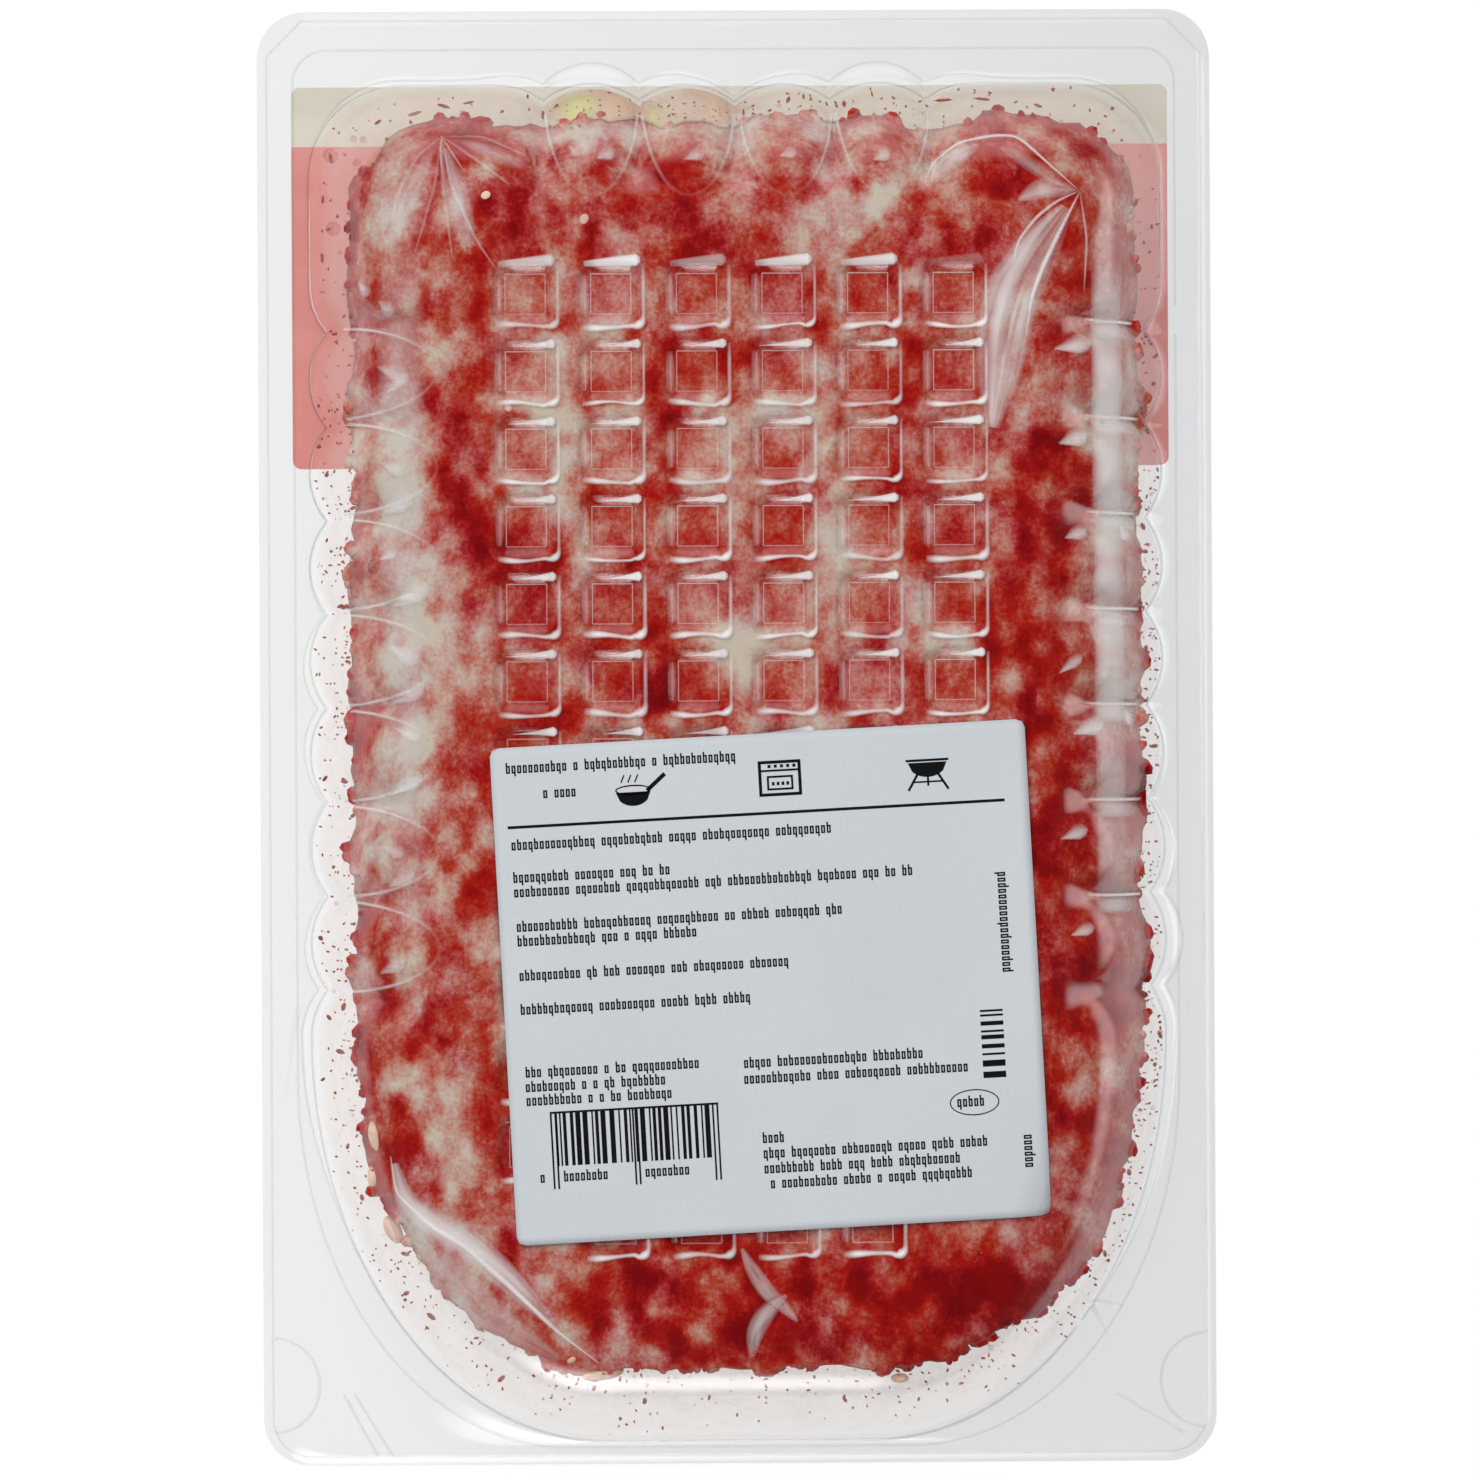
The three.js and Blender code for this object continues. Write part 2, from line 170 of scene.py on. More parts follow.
side_marks = np.arange(SIDE_LOBES + 1) / SIDE_LOBES
top_marks = np.arange(TOP_LOBES + 1) / TOP_LOBES
on_lobes = (base_y > LAST_CREASE) & (base_y < FIRST_CREASE)
below, above = (base_y <= LAST_CREASE).sum(), (base_y >= FIRST_CREASE).sum()
up_lobes = 1 + snapped((base_y[on_lobes] - LAST_CREASE) / (FIRST_CREASE - LAST_CREASE), side_marks)
over_top = np.abs(base_x) < TOP_END
beside = (base_x >= TOP_END).sum()
along_top = 5 + snapped((TOP_END - base_x[over_top][::-1]) / (2 * TOP_END), top_marks)
going_up = np.concatenate([even(-0.5, 1, below + 1)[:-1], up_lobes, even(2, 3.5, above + 1)[1:]])
going_left = np.concatenate([even(3.5, 5, beside + 1)[:-1], along_top, even(6, 7.5, beside + 1)[1:]])
going_down = np.concatenate([even(7.5, 9, above + 1)[:-1], 11 - up_lobes[::-1],
                             even(10, 11.5, below + 1)[1:]])
going_right = even(11.5, 13.5, len(base_x))
stations = np.concatenate([part[:-1] for part in (going_up, going_left, going_down, going_right)])

foot = outline(FOOT, stations)
mouth = outline(MOUTH, stations)
reach = np.linalg.norm(mouth - foot, axis=1)
outward = (mouth - foot) / reach[:, None]

crease_marks = np.concatenate([1 + side_marks, 5 + top_marks, 9 + side_marks])
crease_points = outline(MOUTH, crease_marks)
nearest_crease = np.linalg.norm(mouth[:, None] - crease_points, axis=2).min(1)
across_lobe = np.clip(1 - nearest_crease / (SIDE_PITCH / 2), 0, 1)
SCALLOP_CHORD = 0.62
scallop = (1 - np.sqrt(1 - (SCALLOP_CHORD * across_lobe) ** 2)) / (1 - math.sqrt(1 - SCALLOP_CHORD ** 2))

# Swells of the skirt, where the wall meets the rim: x, y, width, amount.
SWELLS = np.array([
    (-21, 97, 15, 7), (21, 97, 15, 7), (-52, 97, 12, 2.5), (52, 97, 12, 2.5),
    (-63, 5, 14, 2.6), (-63, -45, 22, 3.3), (63, -30, 18, 5.6), (63, -66, 18, 3),
])
SKIRT_HEIGHT = 5
swell_distance = np.linalg.norm(mouth[:, None] - SWELLS[:, :2], axis=2)
swell = (SWELLS[:, 3] * np.exp(-(swell_distance / SWELLS[:, 2]) ** 2)).sum(1)

CORE = {"reach": 17.5 / 20.3, "height": 1.0, "power": 1.8}
LOBE = {"reach": 1.0, "height": 36.6 / 37.3, "power": 2.4, "scallop": 2.5 / 20.3, "drop": 2.1 / 37.3}
BLEND_RADIUS = 0.012


def superellipse(half_width, height, power, angle):
    """Distance from the middle of a superellipse to its edge, in the direction of an angle."""
    return ((np.cos(angle) / half_width) ** power + (np.sin(angle) / height) ** power) ** (-1 / power)


def wall_section(angle, inset):
    """How far out (a share of the way from foot to mouth) and how high (a share of the depth) the wall is,
    in the direction of an angle: the farther of a plain core and a lobe, joined by a small radius."""
    inward, down = inset / reach, inset / DEPTH
    core = superellipse(CORE["reach"] - inward, CORE["height"] - down, CORE["power"], angle)
    lobe = superellipse(LOBE["reach"] - LOBE["scallop"] * scallop - inward,
                        LOBE["height"] - LOBE["drop"] * scallop - down, LOBE["power"], angle)
    radius = (core + lobe + np.sqrt((core - lobe) ** 2 + BLEND_RADIUS ** 2)) / 2
    radius = np.where(angle > 1.5, core, radius)
    return radius * np.cos(angle), radius * np.sin(angle)


def wall_points(angle, inset):
    """Points of the wall, in millimetres, at an angle (one number, or one for each station)."""
    out, up = wall_section(angle, inset)
    height = DEPTH * up
    skirt = swell * np.clip(1 - height / SKIRT_HEIGHT, 0, 1) ** 2
    place = foot + outward * (reach * out + skirt)[:, None]
    return np.column_stack([place, RIM_BOTTOM + height])


def waffle(x, y, inset=0.0):
    """Depth of the waffle at x, y: a ramp on the distance from the recess's middle, measured so that its
    level lines are squares with rounded corners, with its ends eased to round the lip and the foot."""
    column = np.clip(np.round((x - column_places[0]) / WAFFLE_PITCH[0]), 0, WAFFLE_COLUMNS - 1)
    row = np.clip(np.round((y - row_places[0]) / WAFFLE_PITCH[1]), 0, WAFFLE_ROWS - 1)
    aside = np.abs(x - column_places[0] - column * WAFFLE_PITCH[0])
    along = np.abs(y - row_places[0] - row * WAFFLE_PITCH[1])
    away = (aside ** WAFFLE_SQUARENESS + along ** WAFFLE_SQUARENESS) ** (1 / WAFFLE_SQUARENESS)
    half_mouth = WAFFLE_MOUTH / 2 + WAFFLE_INSET_SHARE * inset
    ramp = (half_mouth - away) / ((WAFFLE_MOUTH - WAFFLE_FLAT) / 2)
    lower = (1 + ramp - np.sqrt((1 - ramp) ** 2 + WAFFLE_EASE)) / 2
    eased = (lower + np.sqrt(lower ** 2 + WAFFLE_EASE)) / 2
    missing = (row == 0) & ((column == 0) | (column == WAFFLE_COLUMNS - 1))
    return np.where(missing, 0, WAFFLE_DEPTH * np.where(ramp < -0.7, 0, eased))


def base_grid(level, inset=0.0):
    """The pressed base as a grid of points, with the two lower corners drawn in to stay inside the foot."""
    x, y = np.meshgrid(base_x, base_y)
    squeeze_x, squeeze_y = 25.0, -65.0
    corner = (np.clip((np.abs(x) - squeeze_x) / (base_x[-1] - squeeze_x), 0, 1)
              * np.clip((squeeze_y - y) / (squeeze_y - base_y[0]), 0, 1))
    x = x - CORNER_SQUEEZE * corner * (x - np.sign(x) * squeeze_x)
    y = y - CORNER_SQUEEZE * corner * (y - squeeze_y)
    return np.stack([x, y, level - waffle(x, y, inset)], -1)


def border(rows, columns):
    """Indices of a grid's border, anticlockwise from its lower right corner."""
    index = np.arange(rows * columns).reshape(rows, columns)
    return np.concatenate([index[:-1, -1], index[-1, :0:-1], index[:0:-1, 0], index[0, :-1]])


def bands(loops):
    """Quads between each loop of point numbers and the next."""
    return [np.stack([a, b, np.roll(b, -1), np.roll(a, -1)], -1) for a, b in zip(loops, loops[1:])]


def shell(top, rings, bottom):
    """A closed body: a grid on top, rings from its border round to the border of the bottom grid, and that
    grid turned over. Returns points and quads."""
    rows, columns = top.shape[:2]
    count = 2 * (rows + columns) - 4
    points = np.concatenate([top.reshape(-1, 3), *rings, bottom.reshape(-1, 3)])
    index = np.arange(rows * columns).reshape(rows, columns)
    grid = np.stack([index[:-1, :-1], index[:-1, 1:], index[1:, 1:], index[1:, :-1]], -1).reshape(-1, 4)
    start = rows * columns
    loops = [border(rows, columns)]
    loops += [start + i * count + np.arange(count) for i in range(len(rings))]
    loops.append(start + len(rings) * count + border(rows, columns))
    under = grid[:, ::-1] + start + len(rings) * count
    return points, np.concatenate([grid, *bands(loops), under])


def make_mesh(name, points, faces, finish, smooth=True):
    """A mesh object at the origin from points in millimetres and faces of equal size."""
    mesh = bpy.data.meshes.new(name)
    faces = np.asarray(faces, np.int32)
    corners = faces.shape[1]
    mesh.vertices.add(len(points))
    mesh.vertices.foreach_set("co", (np.asarray(points, np.float32) * (1 / MM_A_METRE)).ravel())
    mesh.loops.add(faces.size)
    mesh.loops.foreach_set("vertex_index", faces.ravel())
    mesh.polygons.add(len(faces))
    mesh.polygons.foreach_set("loop_start", np.arange(len(faces), dtype=np.int32) * corners)
    mesh.polygons.foreach_set("use_smooth", np.full(len(faces), smooth))
    mesh.update(calc_edges=True)
    mesh.validate()
    mesh.materials.append(finish)
    piece = bpy.data.objects.new(name, mesh)
    bpy.context.collection.objects.link(piece)
    return piece


def between(inner, outer, count):
    """Rings between two rings of points, without the two themselves."""
    shares = np.arange(1, count + 1) / (count + 1)
    return [inner * (1 - share) + outer * share for share in shares]


SECTION_ANGLES = np.radians([90, 86.5, 83.5, 81, 78.5, 76, 73.5, 71, 68, 64.5, 60.5, 56, 51, 45.5, 39.5,
                             33, 26, 19, 12.5, 8, 5, 2.5, 0])
BASE_BANDS = 4
PAD_INSET = 1.5
PAD_RISE = 0.3
PAD_CHAMFER = 5.2
pad_corner = RIM_CORNER - PAD_INSET
PAD = {"side": RIM_SIDE - PAD_INSET, "top": RIM_END - PAD_INSET, "bottom": -RIM_END + PAD_INSET,
       "top_corner": (PAD_CHAMFER, PAD_CHAMFER), "bottom_corner": (pad_corner, pad_corner)}


def level_ring(place, z):
    """A ring of points at one height."""
    return np.column_stack([place, np.full(len(place), z)])


def wall_rings(inset, angles):
    """Rings down the wall, from the foot to the mouth."""
    return [wall_points(np.full(len(stations), angle), inset) for angle in angles]


def tray_shell():
    """The tray: base, walls and rim outside, then rim, walls and base inside."""
    top = base_grid(PACK_HEIGHT)
    outside = wall_rings(0, SECTION_ANGLES)
    inside = wall_rings(WALL, SECTION_ANGLES)[::-1]
    bottom = base_grid(PACK_HEIGHT - WALL, WALL)
    edge_loop = border(*top.shape[:2])
    rings = between(top.reshape(-1, 3)[edge_loop], outside[0], BASE_BANDS) + outside
    rim_top = RIM_BOTTOM + RIM_THICKNESS
    pad = outline(PAD, stations, chamfered=True)
    rim = outline(RIM, stations)
    rings[-1][:, 2] = rim_top + PAD_RISE
    mouth_ring = rings[-1]
    pad_ring = level_ring(pad, rim_top + PAD_RISE)
    rings += between(mouth_ring, pad_ring, 2) + [pad_ring, level_ring(pad * 1.001, rim_top)]
    inner_rim = rim - np.sign(rim) * RIM_EDGE
    rings += [level_ring(inner_rim, rim_top), level_ring(rim, rim_top - RIM_EDGE)]
    rings += [level_ring(rim, RIM_BOTTOM + RIM_EDGE), level_ring(inner_rim, RIM_BOTTOM)]
    rings += [level_ring(inside[0][:, :2], RIM_BOTTOM)]
    rings += inside[1:] + between(inside[-1], bottom.reshape(-1, 3)[edge_loop], BASE_BANDS)
    return shell(top, rings, bottom)


class Field:
    """A number or colour that varies over a surface; Python's operators add Math nodes to its finish."""

    def __init__(self, finish, socket):
        self.finish = finish
        self.socket = socket

    def math(self, operation, *operands, clamp=False):
        """One Math node on the operands, in order."""
        settings = {"operation": operation, "use_clamp": clamp}
        return self.finish.node("ShaderNodeMath", settings, dict(enumerate(operands)))

    def __add__(self, other):
        return self.math("ADD", self, other)

    def __sub__(self, other):
        return self.math("SUBTRACT", self, other)

    def __mul__(self, other):
        return self.math("MULTIPLY", self, other)

    def __pow__(self, other):
        return self.math("POWER", self, other)

    def __rsub__(self, other):
        return self.math("SUBTRACT", other, self)

    __radd__ = __add__
    __rmul__ = __mul__

    def clamped(self):
        """The number, kept from 0 to 1."""
        return self.math("ADD", self, 0.0, clamp=True)

    def step(self, low, high):
        """Smoothly from 0 at low to 1 at high."""
        settings = {"interpolation_type": "SMOOTHSTEP", "clamp": True}
        values = {"Value": self, "From Min": low, "From Max": high}
        return self.finish.node("ShaderNodeMapRange", settings, values)


class Finish:
    """A material under construction."""

    def __init__(self, name):
        self.material = bpy.data.materials.new(name)
        self.material.use_nodes = True
        self.tree = self.material.node_tree
        self.tree.nodes.clear()
        self.place = self.node("ShaderNodeTexCoord", {}, {}, "Object")

    def node(self, kind, settings=None, values=None, output=0):
        """Adds a node, sets its settings, then its sockets' values or links, and returns one output."""
        made = self.tree.nodes.new(kind)
        for name, value in (settings or {}).items():
            setattr(made, name, value)
        for name, value in (values or {}).items():
            if isinstance(value, Field):
                self.tree.links.new(value.socket, made.inputs[name])
            else:
                made.inputs[name].default_value = value
        return Field(self, made.outputs[output])

    def noise(self, size_mm, detail=3.0, roughness=0.55, distortion=0.0, place=None):
        """Noise from 0 to 1 whose features are about size_mm across."""
        values = {"Vector": place or self.place, "Scale": MM_A_METRE / size_mm, "Detail": detail,
                  "Roughness": roughness, "Distortion": distortion}
        return self.node("ShaderNodeTexNoise", {}, values)

    def ramp(self, share, stops):
        """A colour from a list of places and colours."""
        made = self.tree.nodes.new("ShaderNodeValToRGB")
        elements = made.color_ramp.elements
        elements[0].position, elements[0].color = stops[0]
        elements[1].position, elements[1].color = stops[-1]
        for position, colour in stops[1:-1]:
            elements.new(position).color = colour
        self.tree.links.new(share.socket, made.inputs["Fac"])
        return Field(self, made.outputs["Color"])

    def stretched(self, x, y, z):
        """The place on the object, scaled along each axis."""
        return self.node("ShaderNodeMapping", {}, {"Vector": self.place, "Scale": (x, y, z)})

    def mix(self, share, first, second):
        """A colour between two, by a share from 0 to 1."""
        return self.node("ShaderNodeMix", {"data_type": "RGBA"}, {0: share, 6: first, 7: second}, 2)

    def attribute(self, name):
        """The number that a piece stores for each vertex under a name."""
        return self.node("ShaderNodeAttribute", {"attribute_name": name}, {}, "Fac")

    def bump(self, height, distance_mm):
        """A normal tilted by a height from 0 to 1 that stands for a distance."""
        values = {"Height": height, "Distance": distance_mm / MM_A_METRE, "Strength": 1.0}
        return self.node("ShaderNodeBump", {}, values, "Normal")

    def mix_shader(self, share, first, second):
        """A shader between two, by a share from 0 to 1."""
        return self.node("ShaderNodeMixShader", {}, {0: share, 1: first, 2: second})

    def done(self, shader):
        """The finished material, with the shader on its surface."""
        made = self.tree.nodes.new("ShaderNodeOutputMaterial")
        self.tree.links.new(shader.socket, made.inputs["Surface"])
        return self.material


def srgb(red, green, blue):
    """A colour as a picture shows it, from 0 to 255, as linear light with alpha."""
    parts = [channel / 255 for channel in (red, green, blue)]
    return (*[p / 12.92 if p <= 0.04045 else ((p + 0.055) / 1.055) ** 2.4 for p in parts], 1.0)


PLASTIC_INDEX = 1.45


def clear_plastic(name, tint, edge_tint, roughness, shaded_right=False):
    """Thin clear plastic: light passes straight through with a faint tint that deepens where the sheet is
    seen edge on, and the surface reflects by Fresnel's law, the same from outside and inside, but less than
    that at a steep slant, most of all on the left, a painted dimming of the reflection. It can also turn
    greyer to the right, a painted shade."""
    finish = Finish(name)
    backfacing = finish.node("ShaderNodeNewGeometry", {}, {}, "Backfacing")
    index = PLASTIC_INDEX - backfacing * (PLASTIC_INDEX - 1 / PLASTIC_INDEX)
    fresnel = finish.node("ShaderNodeFresnel", {}, {"IOR": index})
    facing = finish.node("ShaderNodeLayerWeight", {}, {"Blend": 0.5}, "Facing")
    straight = finish.node("ShaderNodeBsdfTransparent", {}, {"Color": tint})
    slanting = finish.node("ShaderNodeBsdfTransparent", {}, {"Color": edge_tint})
    through = finish.mix_shader(facing ** 1.5, straight, slanting)
    across = finish.node("ShaderNodeSeparateXYZ", {}, {"Vector": finish.place}, "X")
    # Painted shade: greyer towards the right.
    if shaded_right:
        right_shade = finish.node("ShaderNodeBsdfTransparent", {}, {"Color": (0.915, 0.92, 0.925, 1)})
        through = finish.mix_shader((across * 7 + 0.5).clamped(), through, right_shade)
    gloss = finish.node("ShaderNodeBsdfGlossy", {}, {"Color": (1, 1, 1, 1), "Roughness": roughness})
    rightness = (across * 12 + 0.1).clamped()
    # Painted dimming of the reflection at a steep slant, most of all on the left.
    calmed = fresnel * (1 - (0.93 - 0.18 * rightness) * facing.step(0.4, 0.8))
    return finish.done(finish.mix_shader(calmed, through, gloss))


tray_plastic = clear_plastic("tray_plastic", (0.985, 0.987, 0.985, 1), (0.99, 0.99, 0.988, 1), 0.1)
tray_piece = make_mesh("clear_tray", *tray_shell(), tray_plastic)
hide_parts("tray")
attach(tray_piece, "root")


# Lid film
# A clear film sealed to the rim all round, on which the pack lies. A panel is printed on its inner side.
FILM_THICKNESS = 0.4


def slab(size, low, high, inset=0.12):
    """A flat plate with the outline's shape and slightly rounded edges: points, bands of quads round the
    edge, and a fan of triangles over each face."""
    u = np.concatenate([[i] if i not in CORNERS else i + np.arange(8) / 8 for i in range(RUNS)])
    ring = outline(size, u)
    centre = ring.mean(0)
    small = ring - inset * (ring - centre) / np.linalg.norm(ring - centre, axis=1)[:, None]
    levels = [(small, high), (ring, high - inset / 2), (ring, low + inset / 2), (small, low)]
    rings = [level_ring(places, z) for places, z in levels]
    points = np.concatenate([[[*centre, high]], *rings, [[*centre, low]]])
    count = len(u)
    loops = [1 + i * count + np.arange(count) for i in range(4)]
    hub = np.zeros(count, int)
    last = np.full(count, len(points) - 1)
    fans = [np.stack([hub, loops[0], np.roll(loops[0], -1), hub], -1),
            np.stack([last, np.roll(loops[3], -1), loops[3], last], -1)]
    return points, bands(loops), fans


def plate(name, size, low, high, finish):
    """The slab as one closed mesh of triangles."""
    points, quads, fans = slab(size, low, high)
    triangles = [q[:, [0, 1, 2]] for q in quads] + [q[:, [0, 2, 3]] for q in quads] + [f[:, :3] for f in fans]
    return make_mesh(name, points, np.concatenate(triangles), finish, smooth=False)


# The film greys towards the right: a painted shade.
film_plastic = clear_plastic("film_plastic", (0.985, 0.987, 0.987, 1), (0.9, 0.905, 0.905, 1), 0.08, True)
film_piece = plate("clear_film", RIM, 0, FILM_THICKNESS, film_plastic)
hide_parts("lid_film")
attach(film_piece, "root")


# Printed panel
# Two fields of ink on the inner side of the film, seen through the clear rim: a pale beige band
# along the top and a pinkish red field below it, with rounded corners. Light comes through the ink.
PANEL_LEFT, PANEL_RIGHT = -65.9, 64.6
PANEL_TOP, PANEL_SPLIT, PANEL_BOTTOM = 97.0, 88.2, 40.2
PANEL_CORNER = 1.3
SQUARE = 0.01
PANEL_LEVELS = (FILM_THICKNESS + 0.03, FILM_THICKNESS + 0.09)
LIGHT_THROUGH_INK = 0.62


def rounded_plate(name, box, radii, levels, finish):
    """A flat plate over a rectangle, given as left, right, bottom and top, with its corners rounded by radii
    given from the upper right one anticlockwise."""
    left, right, bottom, top = box
    angle = np.linspace(0, np.pi / 2, 7)
    corners = [(right, top, -1, -1), (left, top, 1, -1), (left, bottom, 1, 1), (right, bottom, -1, 1)]
    ring = np.concatenate([
        np.column_stack([x + step_x * radius + radius * np.cos(angle + i * np.pi / 2),
                         y + step_y * radius + radius * np.sin(angle + i * np.pi / 2)])
        for i, ((x, y, step_x, step_y), radius) in enumerate(zip(corners, radii))])
    low, high = levels
    count = len(ring)
    points = np.concatenate([level_ring(ring, high), level_ring(ring, low),
                             [[*ring.mean(0), high], [*ring.mean(0), low]]])
    a = np.arange(count)
    b = np.roll(a, -1)
    hub = np.full(count, 2 * count)
    faces = np.concatenate([np.stack([hub, a, b], -1), np.stack([hub + 1, b + count, a + count], -1),
                            np.stack([a, a + count, b + count], -1), np.stack([a, b + count, b], -1)])
    return make_mesh(name, points, faces, finish, smooth=False)


def panel_ink(name, first, second, light_through):
    """Ink of two close tones in slanting streaks, with more light coming through it than back from it."""
    finish = Finish(name)
    streaks = finish.noise(9, 3.0, place=finish.stretched(0.25, 1, 1)).step(0.4, 0.7)
    ink = finish.node("ShaderNodeBsdfPrincipled", {}, {
        "Base Color": finish.mix(streaks, first, second), "Roughness": 0.45})
    through = finish.node("ShaderNodeBsdfTransparent", {}, {"Color": light_through})
    return finish.done(finish.mix_shader(LIGHT_THROUGH_INK, ink, through))


grey_ink = panel_ink("grey_ink", srgb(226, 223, 211), srgb(240, 236, 226), (1.0, 0.97, 0.91, 1))
red_ink = panel_ink("red_ink", srgb(240, 138, 130), srgb(247, 160, 151), (0.98, 0.75, 0.73, 1))
grey_band = rounded_plate("film_print_band", (PANEL_LEFT, PANEL_RIGHT, PANEL_SPLIT, PANEL_TOP),
                          (PANEL_CORNER, PANEL_CORNER, SQUARE, SQUARE), PANEL_LEVELS, grey_ink)
red_field = rounded_plate("film_print_field", (PANEL_LEFT, PANEL_RIGHT, PANEL_BOTTOM, PANEL_SPLIT - 0.02),
                          (SQUARE, SQUARE, PANEL_CORNER, PANEL_CORNER), PANEL_LEVELS, red_ink)
for piece in (grey_band, red_field):
    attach(piece, "root")


# Minced meat
# A heap of fresh mince pressed into the tray. Against the plastic it takes the tray's own shape, waffle
# and all; its ragged sides stand free lower down, and it mounds towards the film.
MEAT_GAP = 0.3
MEAT_REACH = {"left": 0.66, "right": 0.78, "top": 0.68, "bottom": 0.3}
MEAT_EDGE_HEIGHT = 20.5
MEAT_MOUND_POWER = 3
MEAT_LOWEST = FILM_THICKNESS + MEAT_GAP
MEAT_LUMP_HEIGHT = 1.2
MEAT_CENTRE_SHARE = 0.55
MEAT_HALF_WIDTH = 58
MEAT_HALF_LENGTH = 90
MEAT_FARTHEST_IN = -2.5
MEAT_FARTHEST_OUT = 0.35
MEAT_WALL_BANDS = 16
MEAT_SIDE_BANDS = 10
MEAT_FILM_BANDS = 22


def value_noise(x, y, size, seed):
    """Smooth noise from -1 to 1 over x and y: random numbers on a square lattice of the given size, joined by
    smooth curves."""
    table = np.random.default_rng(seed).uniform(-1, 1, (64, 64))
    px, py = np.asarray(x) / size + 500.3, np.asarray(y) / size + 500.7
    ix, iy = np.floor(px).astype(int), np.floor(py).astype(int)
    fx, fy = px - ix, py - iy
    fx, fy = fx * fx * (3 - 2 * fx), fy * fy * (3 - 2 * fy)
    low = table[iy % 64, ix % 64] * (1 - fx) + table[iy % 64, (ix + 1) % 64] * fx
    high = table[(iy + 1) % 64, ix % 64] * (1 - fx) + table[(iy + 1) % 64, (ix + 1) % 64] * fx
    return low * (1 - fy) + high * fy


def meat_reach():
    """How far up each wall the meat reaches, as a share from foot to mouth, ragged at two scales."""
    x, y = outward[:, 0], outward[:, 1]
    across = np.where(x > 0, MEAT_REACH["right"], MEAT_REACH["left"])
    along = np.where(y > 0, MEAT_REACH["top"], MEAT_REACH["bottom"])
    ragged = (0.04 * value_noise(*mouth.T, 11, 5) + 0.045 * value_noise(*mouth.T, 4.5, 6)
              + 0.03 * value_noise(*mouth.T, 1.8, 7))
    return across * x * x + along * y * y + ragged


def angle_at_reach(share, inset):
    """The section angle at which the wall is a given share of the way out, found between close angles."""
    angles = np.linspace(math.pi / 2, 0.02, 240)
    out = np.stack([wall_section(np.full(len(stations), angle), inset)[0] for angle in angles])
    after = np.clip((out < share).sum(0), 1, len(angles) - 1)
    here = np.arange(len(stations))
    low, high = out[after - 1, here], out[after, here]
    passed = np.clip((share - low) / (high - low), 0, 1)
    return angles[after - 1] + (angles[after] - angles[after - 1]) * passed


def strand_relief(x, y, z):
    """Bumps as wide as strands of mince, from two crossed sets of smooth noise."""
    return (0.9 * value_noise(x + z, y - z, 3.4, 11) + 0.5 * value_noise(x - 0.7 * z, y + z, 1.9, 12)
            + 1.2 * value_noise(x, y + 0.5 * z, 8.0, 13))


def meat_shell():
    """The heap: pressed top, sides and mound, each from the same stations as the tray."""
    inset = WALL + MEAT_GAP
    top = base_grid(PACK_HEIGHT - inset, inset)
    last_angle = angle_at_reach(meat_reach(), inset)
    shares = np.linspace(0, 1, MEAT_WALL_BANDS + 1) ** 1.1
    pressed = [wall_points(np.pi / 2 + (last_angle - np.pi / 2) * share, inset) for share in shares]
    rings = between(top.reshape(-1, 3)[border(*top.shape[:2])], pressed[0], BASE_BANDS) + pressed
    edge = pressed[-1]
    for i in range(1, MEAT_SIDE_BANDS + 1):
        share = i / MEAT_SIDE_BANDS
        z = edge[:, 2] * (1 - share) + MEAT_EDGE_HEIGHT * share
        relief = strand_relief(edge[:, 0], edge[:, 1], 2.2 * z)
        bulge = -0.5 * share + 0.7 * relief * min(1, 2 * share)
        push = np.clip(bulge, MEAT_FARTHEST_IN, MEAT_FARTHEST_OUT)
        rings.append(np.column_stack([edge[:, :2] + outward * push[:, None], z]))
    rim_ring = rings[-1]
    lowest = MEAT_LOWEST + MEAT_LUMP_HEIGHT
    bottom = base_grid(0)
    bottom[..., 2] = lowest
    bottom[..., :2] *= MEAT_CENTRE_SHARE
    centre_edge = bottom.reshape(-1, 3)[border(*bottom.shape[:2])]
    size = np.linalg.norm(rim_ring[:, :2], axis=1)
    for i in range(1, MEAT_FILM_BANDS + 1):
        share = i / (MEAT_FILM_BANDS + 1)
        place = rim_ring[:, :2] * (1 - share) + centre_edge[:, :2] * share
        radial = np.linalg.norm(place, axis=1) / size
        z = lowest + (MEAT_EDGE_HEIGHT - lowest) * radial ** MEAT_MOUND_POWER
        z += 0.8 * strand_relief(place[:, 0], place[:, 1], 0 * z) * (1 - share / 3)
        rings.append(np.column_stack([place, np.maximum(z, MEAT_LOWEST)]))
    grid_x, grid_y = bottom[..., 0], bottom[..., 1]
    radial = np.hypot(grid_x / MEAT_HALF_WIDTH, grid_y / MEAT_HALF_LENGTH)
    relief = 0.8 * strand_relief(grid_x, grid_y, 0 * grid_x) * 0.66
    bottom[..., 2] = lowest + (MEAT_EDGE_HEIGHT - lowest) * radial ** MEAT_MOUND_POWER + relief
    bottom[..., 2] = np.maximum(bottom[..., 2], MEAT_LOWEST)
    return shell(top, rings, bottom)
